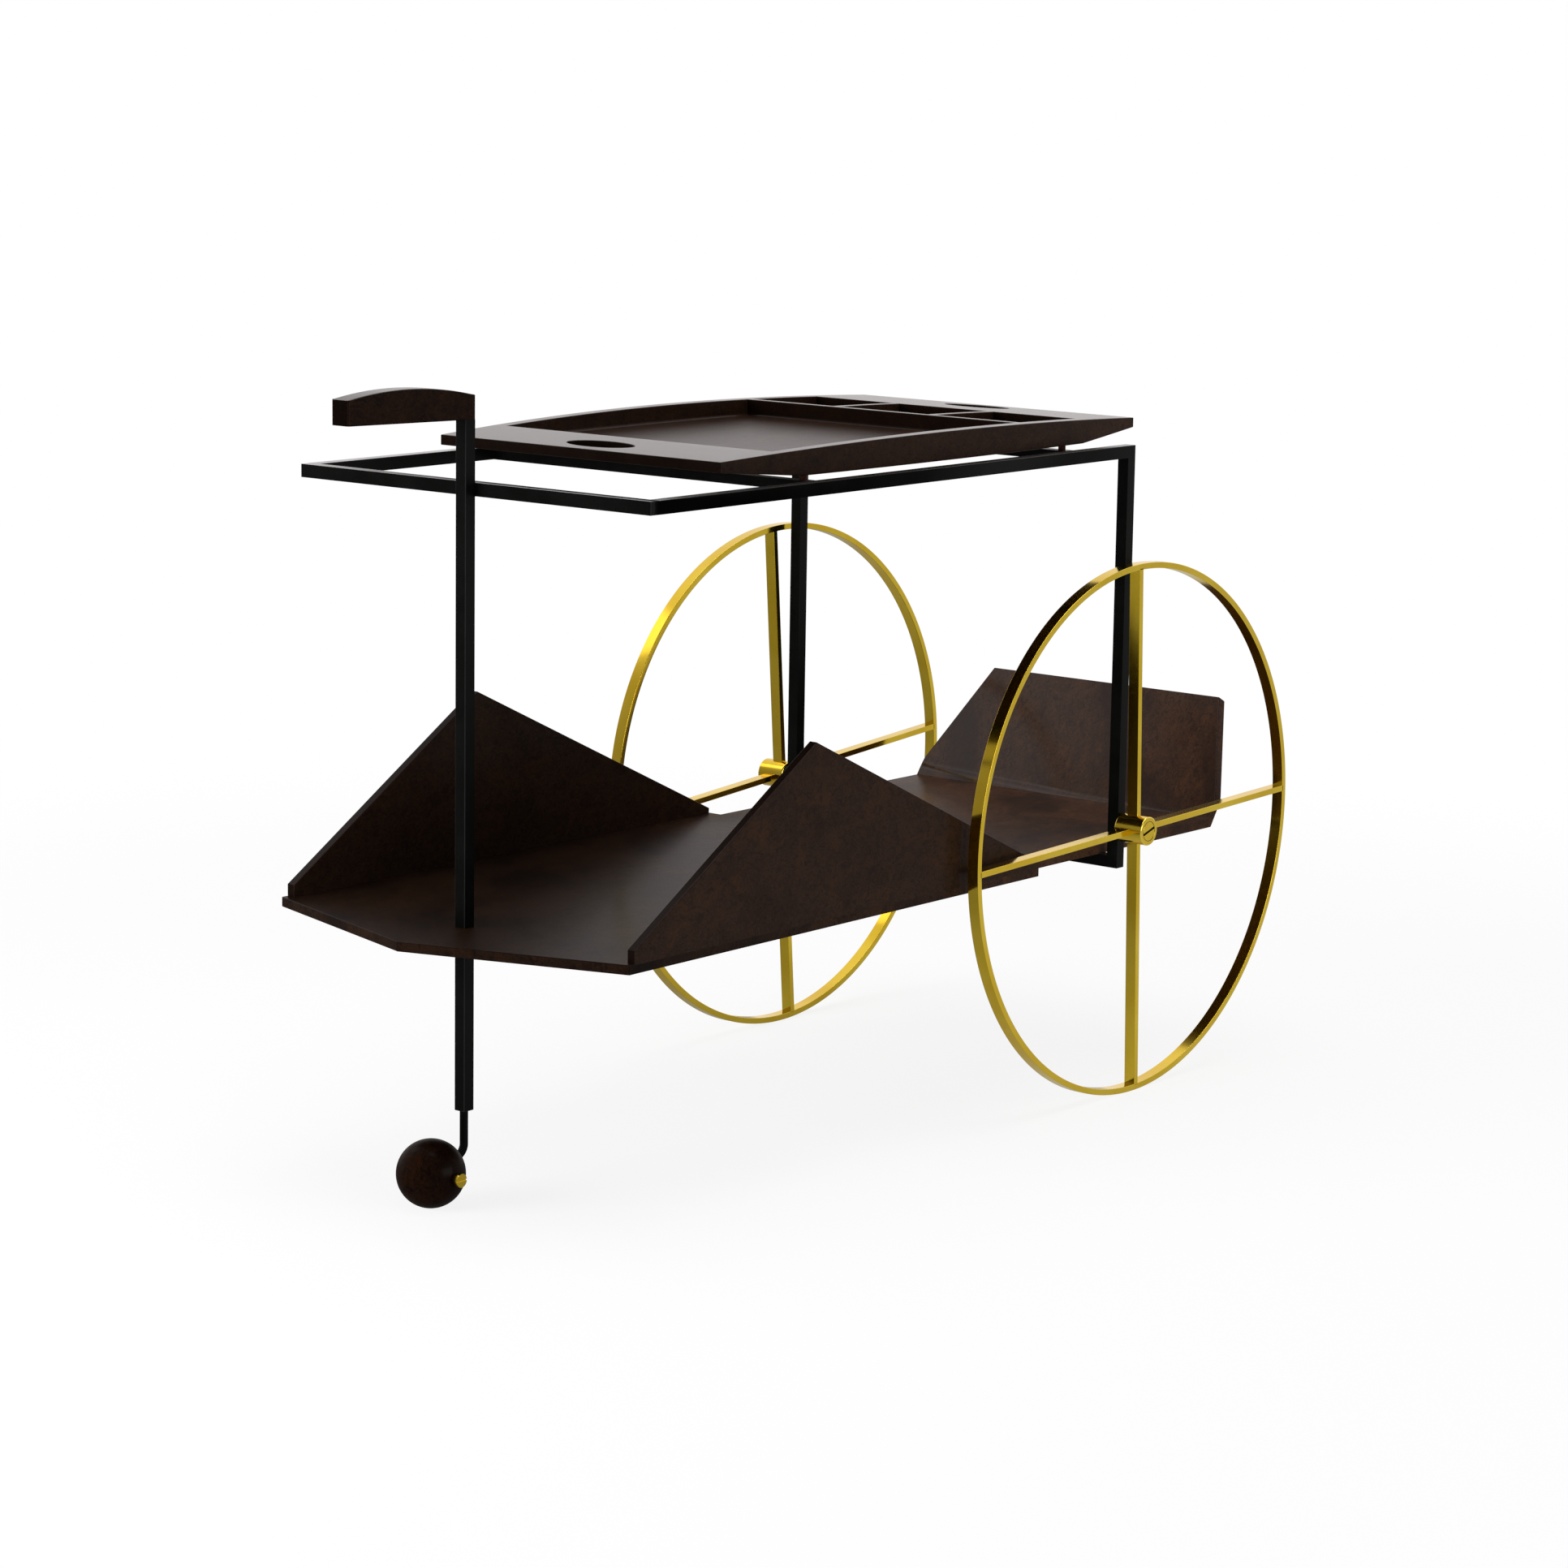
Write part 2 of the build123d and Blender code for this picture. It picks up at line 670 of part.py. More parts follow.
# Tray heights and places
tray_bottom = crossbar_top + peg_height
tray_front_x = front_x + tray_front_setback
tray_rear_x = frame_rear_x + tray_rear_overhang
tray_length = tray_rear_x - tray_front_x
tray_middle_x = (tray_front_x + tray_rear_x) / 2
tray_end_half_width = rail_outer - tray_side_inset
tray_end_top = tray_bottom + tray_end_height
tray_crown_top = tray_end_top + tray_crown
tray_end_bottom = tray_end_top - tray_end_edge
tray_floor_top = tray_bottom + tray_floor_thickness
well_front_x = tray_front_x + tray_end_board
well_rear_x = tray_rear_x - tray_rear_board
divider_long_x = tray_rear_x - divider_long_setback
tray_middle_half_width = tray_end_half_width + tray_side_bow


# The whole tray as one block: arched top and wedge-ended bottom, drawn from the side
with BuildPart() as tray_block:
    with BuildSketch(Plane.XZ.offset(-tray_middle_half_width)):
        with BuildLine():
            Polyline(
                (tray_rear_x, tray_end_top),
                (tray_rear_x, tray_end_bottom),
                (tray_rear_x - tray_rear_wedge, tray_bottom),
                (tray_front_x + tray_front_wedge, tray_bottom),
                (tray_front_x, tray_end_bottom),
                (tray_front_x, tray_end_top),
            )
            ThreePointArc(
                (tray_front_x, tray_end_top),
                (tray_middle_x, tray_crown_top),
                (tray_rear_x, tray_end_top),
            )
        make_face()
    extrude(amount=tray_middle_half_width * 2)

# The bowed outlines of the tray and of what lies between its sides, seen from above
outlines = {}
for name, inset in {"tray": 0, "well": tray_wall}.items():
    end_y = tray_end_half_width - inset
    middle_y = tray_middle_half_width - inset
    with BuildSketch() as outline:
        with BuildLine():
            ThreePointArc((tray_front_x, -end_y), (tray_middle_x, -middle_y), (tray_rear_x, -end_y))
            Line((tray_rear_x, -end_y), (tray_rear_x, end_y))
            ThreePointArc((tray_rear_x, end_y), (tray_middle_x, middle_y), (tray_front_x, end_y))
            Line((tray_front_x, end_y), (tray_front_x, -end_y))
        make_face()
    outlines[name] = outline.sketch


def half_width_at(x, half_length, middle, bow):
    """Half the width of a bowed outline at a distance x from its middle."""
    bow_radius = (half_length**2 + bow**2) / (2 * bow)
    return middle - bow_radius + sqrt(bow_radius**2 - x**2)


# The pegs stand on the rear halves of the crossbars, close under the tray's outer edges
peg_xs = [x + bar / 2 + peg_setback for x in (crossbar_front_x, crossbar_rear_x)]
peg_places = []
for x in peg_xs:
    outer_y = half_width_at(
        x - tray_middle_x, tray_length / 2, tray_middle_half_width, tray_side_bow
    )
    peg_places.append((x, peg_side_inset - outer_y))
    peg_places.append((x, outer_y - peg_side_inset))

for side_name, side in sides.items():
    with BuildPart() as tray_side:
        add(tray_block.part)
        with BuildSketch(Plane.XY.offset(tray_bottom)):
            add(outlines["tray"])
            add(outlines["well"], mode=Mode.SUBTRACT)
            with Locations((tray_middle_x, -side * tray_middle_half_width)):
                Rectangle(tray_length + overrun, tray_middle_half_width * 2, mode=Mode.SUBTRACT)
        extrude(amount=tray_crown_top - tray_bottom, mode=Mode.INTERSECT)
        with BuildSketch(Plane.XY.offset(tray_bottom)):
            with Locations(*[(x, y) for x, y in peg_places if y * side > 0]):
                Circle(peg_tenon_diameter / 2 + fixed_clearance)
        extrude(amount=peg_tenon_length + fixed_clearance, mode=Mode.SUBTRACT)
    keep(tray_side.part, f"tray_side_{side_name}")

# The end boards fill the bowed outline between the sides, each with an oval finger hole
end_boards = {
    "tray_end_front": (tray_front_x, well_front_x, tray_front_x + slot_inset),
    "tray_end_rear": (well_rear_x, tray_rear_x, tray_rear_x - slot_inset),
}
for name, (start_x, end_x, slot_x) in end_boards.items():
    with BuildPart() as tray_end:
        add(tray_block.part)
        with BuildSketch(Plane.XY.offset(tray_bottom)):
            add(outlines["well"])
            with Locations(((start_x + end_x) / 2, 0)):
                Rectangle(end_x - start_x, tray_middle_half_width * 2, mode=Mode.INTERSECT)
            with Locations((slot_x, 0)):
                Ellipse(slot_width / 2, slot_length / 2, mode=Mode.SUBTRACT)
        extrude(amount=tray_crown_top - tray_bottom, mode=Mode.INTERSECT)
    keep(tray_end.part, name)

# One divider runs across the tray, and two shorter ones run from it to the rear board, all
# in grooves in the tray's floor
dividers = {
    "tray_divider_long": (divider_long_x, divider_long_x + divider, 0, tray_middle_half_width * 2),
    "tray_divider_right": (divider_long_x + divider, well_rear_x, -divider_spread, divider),
    "tray_divider_left": (divider_long_x + divider, well_rear_x, divider_spread, divider),
}

with BuildPart() as tray_floor:
    add(tray_block.part)
    with BuildSketch(Plane.XY.offset(tray_bottom)):
        add(outlines["well"])
        with Locations(((well_front_x + well_rear_x) / 2, 0)):
            Rectangle(
                well_rear_x - well_front_x, tray_middle_half_width * 2, mode=Mode.INTERSECT
            )
    extrude(amount=tray_floor_thickness, mode=Mode.INTERSECT)
    for start_x, end_x, middle_y, width in dividers.values():
        with BuildSketch(Plane.XY.offset(tray_floor_top)):
            with Locations(((start_x + end_x) / 2, middle_y)):
                Rectangle(end_x - start_x, width)
        extrude(amount=-divider_groove_depth, mode=Mode.SUBTRACT)
keep(tray_floor.part, "tray_floor")

divider_bottom = tray_floor_top - divider_groove_depth
for name, (start_x, end_x, middle_y, width) in dividers.items():
    with BuildPart() as tray_divider:
        add(tray_block.part)
        with BuildSketch(Plane.XY.offset(divider_bottom)):
            add(outlines["well"])
            with Locations(((start_x + end_x) / 2, middle_y)):
                Rectangle(end_x - start_x, width, mode=Mode.INTERSECT)
        extrude(amount=tray_crown_top - divider_bottom, mode=Mode.INTERSECT)
    keep(tray_divider.part, name)

with BuildPart() as tray_pegs:
    with BuildSketch(Plane.XY.offset(crossbar_top)):
        with Locations(*peg_places):
            Circle(peg_diameter / 2)
    extrude(amount=peg_height)
    with BuildSketch(Plane.XY.offset(tray_bottom)):
        with Locations(*peg_places):
            Circle(peg_tenon_diameter / 2)
    extrude(amount=peg_tenon_length)
keep(tray_pegs.part, "tray_pegs")
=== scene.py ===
"""Tea trolley dressed for the studio: camera, light, floor, finishes and finely edged pieces."""

from math import cos, degrees, pi, radians, sin, sqrt

import bmesh
import bpy
from mathutils import Matrix, Vector


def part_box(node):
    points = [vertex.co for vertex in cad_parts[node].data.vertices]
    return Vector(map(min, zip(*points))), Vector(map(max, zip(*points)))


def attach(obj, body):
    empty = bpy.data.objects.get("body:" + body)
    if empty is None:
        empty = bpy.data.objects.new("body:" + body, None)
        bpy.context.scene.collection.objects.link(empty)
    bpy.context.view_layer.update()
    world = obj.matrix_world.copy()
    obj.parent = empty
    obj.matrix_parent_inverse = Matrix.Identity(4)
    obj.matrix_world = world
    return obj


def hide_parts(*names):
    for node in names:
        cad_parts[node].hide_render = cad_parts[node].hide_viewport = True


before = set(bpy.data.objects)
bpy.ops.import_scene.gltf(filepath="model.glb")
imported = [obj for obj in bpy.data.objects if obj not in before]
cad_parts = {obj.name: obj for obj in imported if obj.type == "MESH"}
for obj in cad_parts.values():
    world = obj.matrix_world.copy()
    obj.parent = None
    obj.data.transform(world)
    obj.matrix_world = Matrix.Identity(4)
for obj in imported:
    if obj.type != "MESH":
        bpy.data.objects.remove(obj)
bpy.context.view_layer.update()


# ---------------------------------------------------------------- camera

CAMERA_PLACE = (-3.356788, -2.753582, 1.110296)
CAMERA_YAW = 0.6824263  # from +X towards +Y
CAMERA_PITCH = -0.1762639
CAMERA_ROLL = 0.0152495
CAMERA_LENS = 99.995  # mm
SENSOR_WIDTH = 36.0  # mm
CLIP_START, CLIP_END = 0.1, 60.0


def set_up_camera():
    ahead = Vector(
        (
            cos(CAMERA_YAW) * cos(CAMERA_PITCH),
            sin(CAMERA_YAW) * cos(CAMERA_PITCH),
            sin(CAMERA_PITCH),
        )
    )
    level = Vector((sin(CAMERA_YAW), -cos(CAMERA_YAW), 0))
    upright = level.cross(ahead)
    across = level * cos(CAMERA_ROLL) + upright * sin(CAMERA_ROLL)
    up = upright * cos(CAMERA_ROLL) - level * sin(CAMERA_ROLL)
    data = bpy.data.cameras.new("studio_camera")
    data.sensor_fit = "HORIZONTAL"
    data.sensor_width = SENSOR_WIDTH
    data.lens = CAMERA_LENS
    data.clip_start, data.clip_end = CLIP_START, CLIP_END
    camera = bpy.data.objects.new("studio_camera", data)
    turn = Matrix((across, up, -ahead)).transposed().to_4x4()
    camera.matrix_world = Matrix.Translation(CAMERA_PLACE) @ turn
    bpy.context.scene.collection.objects.link(camera)
    bpy.context.scene.camera = camera


set_up_camera()
bpy.context.scene.view_settings.view_transform = "Standard"


# ---------------------------------------------------------------- shader wiring


class Wire:
    """One socket of a node tree; arithmetic on it adds Math nodes."""

    def __init__(self, tree, socket=None):
        self.tree = tree
        self.socket = socket

    def node(self, kind, sockets=None, output=0, stops=None, **settings):
        """Adds a node with its settings and its sockets' values or links; returns an output."""
        made = self.tree.nodes.new(kind)
        for setting, value in settings.items():
            setattr(made, setting, value)
        if stops:
            ramp = made.color_ramp.elements
            while len(ramp) < len(stops):
                ramp.new(1.0)
            for element, (place, colour) in zip(ramp, stops):
                element.position = place
                element.color = colour if len(colour) == 4 else (*colour, 1.0)
        for key, value in (sockets or {}).items():
            if isinstance(value, Wire):
                self.tree.links.new(value.socket, made.inputs[key])
            else:
                made.inputs[key].default_value = value
        return Wire(self.tree, made.outputs[output])

    def math(self, operation, *values, clamp=False):
        return self.node(
            "ShaderNodeMath", dict(enumerate(values)), operation=operation, use_clamp=clamp
        )

    def __add__(self, other):
        return self.math("ADD", self, other)

    __radd__ = __add__

    def __sub__(self, other):
        return self.math("SUBTRACT", self, other)

    def __rsub__(self, other):
        return self.math("SUBTRACT", other, self)

    def __mul__(self, other):
        return self.math("MULTIPLY", self, other)

    __rmul__ = __mul__

    def __truediv__(self, other):
        return self.math("DIVIDE", self, other)

    def above(self, low, high):
        """0 below low, 1 above high, and a smooth rise between them."""
        return self.node(
            "ShaderNodeMapRange",
            {"Value": self, "From Min": low, "From Max": high, "To Min": 0.0, "To Max": 1.0},
            interpolation_type="SMOOTHSTEP",
        )

    def blend(self, first, second):
        """The first colour where this is 0, the second where it is 1."""
        return self.node(
            "ShaderNodeMix",
            {  # the node's factor and its two colours
                0: self,
                6: first if isinstance(first, Wire) else (*first, 1.0),
                7: second if isinstance(second, Wire) else (*second, 1.0),
            },
            output=2,
            data_type="RGBA",
        )


def new_finish(name):
    """A material, a Wire to build its pattern on, and its Principled shader."""
    material = bpy.data.materials.new(name)
    material.use_nodes = True
    tree = material.node_tree
    return material, Wire(tree), tree.nodes["Principled BSDF"]


def feed(shader, socket, wire):
    wire.tree.links.new(wire.socket, shader.inputs[socket])


def bumped(shader, height, strength, depth):
    """Gives a surface fine relief from a height; the depth is in metres."""
    relief = {"Strength": strength, "Distance": depth, "Height": height}
    feed(shader, "Normal", height.node("ShaderNodeBump", relief))


def marked(w, name):
    """How strongly a piece's faces are marked under this name, from 0 to 1."""
    return w.node("ShaderNodeAttribute", output="Fac", attribute_name=name)


def speckle(w, place, scale, detail=3.0, rough=0.55, twist=0.0):
    """Even noise from 0 to 1 on a place vector; the scale is in grains a metre."""
    noise = {"Scale": scale, "Detail": detail, "Roughness": rough, "Distortion": twist}
    return w.node("ShaderNodeTexNoise", {"Vector": place, **noise})


def placed(w, offset=(0, 0, 0), stretch=(1, 1, 1)):
    """The place on the piece, in metres, moved and stretched."""
    here = w.node("ShaderNodeTexCoord", output="Object")
    return w.node("ShaderNodeMapping", {"Vector": here, "Location": offset, "Scale": stretch})


def times(colour, tint):
    """A colour times a number, or times another colour."""
    if isinstance(tint, float):
        tint = (tint, tint, tint)
    return tuple(a * b for a, b in zip(colour, tint))


# ---------------------------------------------------------------- finishes


# each part of a wood's figure: its grains a metre, and its noise's detail, roughness and twist
FIGURE = {
    "bands": (14.0, 2.0, 0.50, 0.6),
    "burl": (62.0, 6.0, 0.68, 0.9),
    "darkening": (120.0, 6.0, 0.72, 1.6),
    "rust": (34.0, 5.0, 0.66, 1.2),
    "streaks": (13.0, 3.0, 0.55, 0.5),
    "flecks": (520.0, 4.0, 0.65, 0.0),
    "veins": (46.0, 5.0, 0.60, 2.2),
    "pores": (1500.0, 2.0, 0.50, 0.0),
}
COOL_TINT = (0.55, 0.72, 0.95)
RUST_TINT = (0.92, 0.72, 0.55)
STREAK_TINT = (0.80, 0.80, 0.78)
# the third tone darkens end grain and painted shade, the fourth edge wear and painted edge shade
VEIN_SHADE, PORE_SHADE, END_GRAIN_AND_PAINTED_SHADE, EDGE_WEAR_AND_PAINTED_SHADE = 0.45, 0.40, 0.25, 0.5
STREAK_TURN = (0.67, -0.50, 0.0)  # brings the way that the streaks run to Z
STREAK_STRETCH = (1.0, 1.0, 0.22)
VEIN_WIDTH = 0.012
PAINTED_LIGHT_FROM_X, PAINTED_LIGHT_TO_X = -0.42, 0.46  # the x between which the painted light on the wood rises, from painted shade at the front to painted light at the rear
FULL_POLISH = 0.72  # the varnish's coat weight on faces marked as polished
VARNISH_ROUGHNESS, VARNISH_IOR = 0.17, 1.38
WOOD_SPECULAR = 0.02


def stained_wood(
    name, offset, stretch, colours, gloss=0.30, figure=1.0, varnish=0.12, painted_light_ends=(1.0, 1.0),
    streaks=0.0,
):
    """Very dark stained hardwood under satin varnish; stretch is short along the grain.

    Colours are the deep, the middle and the warm one. The two scales paint light and shade along
    the
    trolley: they scale the colour at its front end and at its rear end; streaks gives how strong
    its broad streaks are."""
    material, w, shader = new_finish(name)
    deep, middle, warm = colours
    cool = times(deep, COOL_TINT)
    place = placed(w, offset)
    grain = w.node("ShaderNodeMapping", {"Vector": place, "Scale": stretch})
    half_stretch = [0.5 + 0.5 * s for s in stretch]
    soft = w.node("ShaderNodeMapping", {"Vector": place, "Scale": half_stretch})
    turned = w.node("ShaderNodeMapping", {"Vector": place, "Rotation": STREAK_TURN})
    slant = w.node("ShaderNodeMapping", {"Vector": turned, "Scale": STREAK_STRETCH})

    bands = speckle(w, grain, *FIGURE["bands"]).above(0.34, 0.66)
    burl = speckle(w, soft, *FIGURE["burl"])
    darkening = speckle(w, soft, *FIGURE["darkening"]).above(0.50, 0.62)
    rust = speckle(w, soft, *FIGURE["rust"]).above(0.50, 0.68)
    broad = speckle(w, slant, *FIGURE["streaks"])
    flecks = speckle(w, soft, *FIGURE["flecks"])
    from_vein = w.math("ABSOLUTE", speckle(w, place, *FIGURE["veins"]) - 0.5)
    veins = 1.0 - from_vein.above(0.0, VEIN_WIDTH)
    pores = speckle(w, grain, *FIGURE["pores"]).above(0.60, 0.72)

    colour = (bands * 0.45 + burl.above(0.32, 0.68) * 0.55).blend(deep, middle)
    warmth = w.math("MAXIMUM", (flecks - 0.44) * (1.5 * figure), 0.0)
    colour = warmth.blend(colour, warm)
    colour = (rust * 0.38 * figure).blend(colour, times(warm, RUST_TINT))
    pale_streaks = broad.above(0.50, 0.66) * 0.5 * streaks
    colour = pale_streaks.blend(colour, times(warm, STREAK_TINT))
    dark_streaks = (1.0 - broad.above(0.34, 0.50)) * streaks
    colour = dark_streaks.blend(colour, cool)
    colour = (darkening * 0.72 * figure).blend(colour, cool)
    colour = (veins * 0.35 * figure).blend(colour, times(deep, VEIN_SHADE))
    colour = (pores * 0.30).blend(colour, times(deep, PORE_SHADE))
    # marked faces darken: the extra stain of end grain, and painted shade on the tray's ends, well
    # walls, finger holes and the shelf's tail
    colour = (marked(w, "end_grain_and_painted_shade") * 0.90).blend(colour, times(deep, END_GRAIN_AND_PAINTED_SHADE))
    # rounded edges darken: wear, and painted edge shade
    colour = (marked(w, "edge_wear_and_painted_light") * 0.35).blend(colour, times(deep, EDGE_WEAR_AND_PAINTED_SHADE))
    # painted shade at the front and painted light towards the rear, by scaling the colour along x
    along = w.node("ShaderNodeSeparateXYZ", {"Vector": placed(w)})
    painted_light = painted_light_ends[0] + along.above(PAINTED_LIGHT_FROM_X, PAINTED_LIGHT_TO_X) * (painted_light_ends[1] - painted_light_ends[0])
    painted_light_scaling = {"Vector": colour, "Scale": painted_light}
    feed(shader, "Base Color", w.node("ShaderNodeVectorMath", painted_light_scaling, operation="SCALE"))

    feed(shader, "Roughness", gloss + burl * 0.08 + pores * 0.12 + flecks * 0.05)
    bumped(shader, burl * 0.35 + flecks * 0.30 - pores * 0.5 - veins * 0.2, 0.20, 0.00010)
    feed(shader, "Coat Weight", varnish + marked(w, "polish") * (FULL_POLISH - varnish))
    shader.inputs["Specular IOR Level"].default_value = WOOD_SPECULAR
    shader.inputs["Coat Roughness"].default_value = VARNISH_ROUGHNESS
    shader.inputs["Coat IOR"].default_value = VARNISH_IOR
    return material


DARK = ((0.0130, 0.0061, 0.0040), (0.0260, 0.0128, 0.0072), (0.0560, 0.0275, 0.0140))
MAROON = ((0.0290, 0.0085, 0.0068), (0.0500, 0.0150, 0.0115), (0.0820, 0.0290, 0.0190))
NEARLY_BLACK = ((0.0070, 0.0030, 0.0018), (0.0120, 0.0052, 0.0028), (0.030, 0.0125, 0.0050))
BLACK_BROWN = ((0.0028, 0.0011, 0.0006), (0.0068, 0.0026, 0.0012), (0.020, 0.0075, 0.0030))
REDDISH = ((0.035, 0.012, 0.008), (0.06, 0.02, 0.012), (0.085, 0.028, 0.015))
ALONG_X, ALONG_Y, UPRIGHT = (0.30, 1.0, 1.0), (1.0, 0.30, 1.0), (1.0, 1.0, 0.30)

# lengthways wood: painted shade at the trolley's front end, painted light towards its rear
wood_along_x = stained_wood(
    "dark_wood_lengthways", (0.31, 0.77, 0.15), ALONG_X, DARK, figure=0.75, painted_light_ends=(0.72, 1.05)
)
wood_well = stained_wood("dark_wood_well", (0.64, 1.12, 0.83), ALONG_X, MAROON, figure=0.75)
wood_along_y = stained_wood("dark_wood_crossways", (1.73, 0.22, 0.48), ALONG_Y, DARK)
# shelf: strong painted shade in front, under the tray, and painted light towards the tail
wood_shelf = stained_wood(
    "dark_wood_shelf", (0.90, 1.35, 0.62), (0.30, 1.0, 0.40), DARK, figure=0.85, varnish=0.07,
    painted_light_ends=(0.50, 2.2), streaks=0.65,
)
wood_panel = stained_wood(
    "dark_wood_panel", (2.12, 0.41, 1.05), (0.55, 1.0, 1.0), DARK, figure=0.75
)
wood_grip = stained_wood(
    "dark_wood_grip", (0.55, 2.31, 0.83), ALONG_X, NEARLY_BLACK, figure=1.1, varnish=0.04
)
wood_ball = stained_wood(
    "dark_wood_ball", (1.21, 1.94, 0.37), UPRIGHT, BLACK_BROWN, gloss=0.34, varnish=0.05
)
wood_peg = stained_wood("brown_wood_peg", (0.71, 0.64, 0.29), UPRIGHT, REDDISH, gloss=0.36)


def satin_black_steel():
    """Black paint with a faint orange peel, grey along its edges from wear and a painted edge
    highlight, glossier on its tops.
    """
    material, w, shader = new_finish("satin_black_steel")
    black, soft_black = (0.0014, 0.0015, 0.0013), (0.0025, 0.0027, 0.0024)
    # the second colour is for the rounded edges: paint worn through, with a painted grey highlight
    rubbed, edge_wear_and_highlight = (0.0085, 0.0098, 0.0092), (0.024, 0.026, 0.025)
    here = placed(w)
    peel = speckle(w, here, 1400.0, 3.0, 0.6)
    patches = speckle(w, here, 22.0, 4.0, 0.6)
    rubs = speckle(w, here, 320.0, 4.0, 0.7).above(0.60, 0.74)
    colour = patches.above(0.35, 0.65).blend(black, soft_black)
    colour = (rubs * 0.35).blend(colour, rubbed)
    # rounded edges turn grey: worn paint, and a painted edge highlight
    colour = (marked(w, "edge_wear_and_painted_light") * (0.35 + patches * 0.5)).blend(colour, edge_wear_and_highlight)
    feed(shader, "Base Color", colour)
    feed(shader, "Roughness", 0.34 + peel * 0.06 + patches * 0.08 - rubs * 0.05)
    bumped(shader, peel, 0.16, 0.00006)
    shader.inputs["Specular IOR Level"].default_value = 0.065
    feed(shader, "Coat Weight", marked(w, "polish") * 0.9)
    shader.inputs["Coat Roughness"].default_value = 0.12
    return material


def polished_brass():
    """Bright brass with fine hairlines, a few dull spots, and grime where no cloth reaches."""
    material, w, shader = new_finish("polished_brass")
    deep_gold, light_gold = (0.73, 0.49, 0.030), (0.82, 0.59, 0.055)
    spotted, bright, grimy = (0.46, 0.25, 0.020), (0.96, 0.76, 0.18), (0.012, 0.008, 0.003)
    clouds = speckle(w, placed(w), 14.0, 4.0, 0.6)
    spots = speckle(w, placed(w), 210.0, 3.0, 0.6).above(0.66, 0.78)
    hairlines = speckle(w, placed(w, stretch=(1.0, 0.06, 1.0)), 1700.0, 2.0, 0.5)
    grime = marked(w, "grime")
    colour = clouds.above(0.30, 0.70).blend(deep_gold, light_gold)
    colour = (spots * 0.40).blend(colour, spotted)
    colour = (marked(w, "edge_wear_and_painted_light") * 0.35).blend(colour, bright)
    feed(shader, "Base Color", (grime * 0.94).blend(colour, grimy))
    shader.inputs["Metallic"].default_value = 1.0
    roughness = 0.07 + hairlines * 0.07 + clouds * 0.05 + spots * 0.12
    feed(shader, "Roughness", roughness + grime * 0.45)
    bumped(shader, hairlines, 0.10, 0.00003)
    return material


def turned_steel():
    """Plain steel with fine lines from the lathe."""
    material, w, shader = new_finish("turned_steel")
    lines = speckle(w, placed(w), 900.0, 2.0, 0.5)
    feed(shader, "Base Color", lines.above(0.3, 0.7).blend((0.34, 0.34, 0.33), (0.52, 0.52, 0.50)))
    shader.inputs["Metallic"].default_value = 1.0
    feed(shader, "Roughness", 0.26 + lines * 0.14)
    bumped(shader, lines, 0.12, 0.00003)
    return material


def dull_nylon():
    """Black nylon with a fine moulded grain."""
    material, w, shader = new_finish("dull_nylon")
    grain = speckle(w, placed(w), 1100.0, 3.0, 0.6)
    colour = grain.above(0.3, 0.7).blend((0.018, 0.018, 0.018), (0.034, 0.034, 0.033))
    feed(shader, "Base Color", colour)
    feed(shader, "Roughness", 0.48 + grain * 0.14)
    bumped(shader, grain, 0.2, 0.00004)
    return material


black_steel = satin_black_steel()
brass = polished_brass()
plain_steel = turned_steel()
nylon = dull_nylon()


# ---------------------------------------------------------------- making pieces

SAME_PLACE = 2e-6  # points nearer than this are one
FLAT = radians(0.3)  # faces that turn by less are one
SHADED_SMOOTH = radians(38)


def merged(node):
    """A copy of a CAD node's mesh, its loose triangles joined into whole flat faces."""
    skin = bmesh.new()
    skin.from_mesh(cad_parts[node].data)
    bmesh.ops.remove_doubles(skin, verts=skin.verts, dist=SAME_PLACE)
    bmesh.ops.dissolve_limit(
        skin, angle_limit=FLAT, verts=skin.verts, edges=skin.edges, delimit={"NORMAL"}
    )
    return skin


def sharp_edges(skin, least=25.0, chosen=None):
    """The edges that turn by at least so many degrees, and pass the test if there is one."""
    return [
        e
        for e in skin.edges
        if len(e.link_faces) == 2
        and degrees(e.calc_face_angle(0.0)) > least
        and (chosen is None or chosen(e))
    ]


def round_off(skin, edges, width, steps=3):
    """Rounds the edges, and marks the new faces where the edge stands out, for edge wear with
    painted edge light and shade.
    """
    mark = skin.faces.layers.float.get("edge_wear_and_painted_light") or skin.faces.layers.float.new("edge_wear_and_painted_light")
    proud = {e: e.is_convex for e in edges}
    for convex in (False, True):
        group = [e for e in edges if e.is_valid and proud[e] is convex]
        if not group:
            continue
        made = bmesh.ops.bevel(
            skin, geom=group, offset=width, offset_type="OFFSET", segments=steps, profile=0.5,
            affect="EDGES", clamp_overlap=False, loop_slide=True, material=-1,
        )
        if convex:
            for face in made["faces"]:
                face[mark] = 1.0


def darkened(skin, amount):
    """Marks each face with how much darker its colour is made: the extra stain of end grain, and
    painted shade.
    """
    mark = skin.faces.layers.float.new("end_grain_and_painted_shade")
    skin.normal_update()
    for face in skin.faces:
        face[mark] = amount(face)


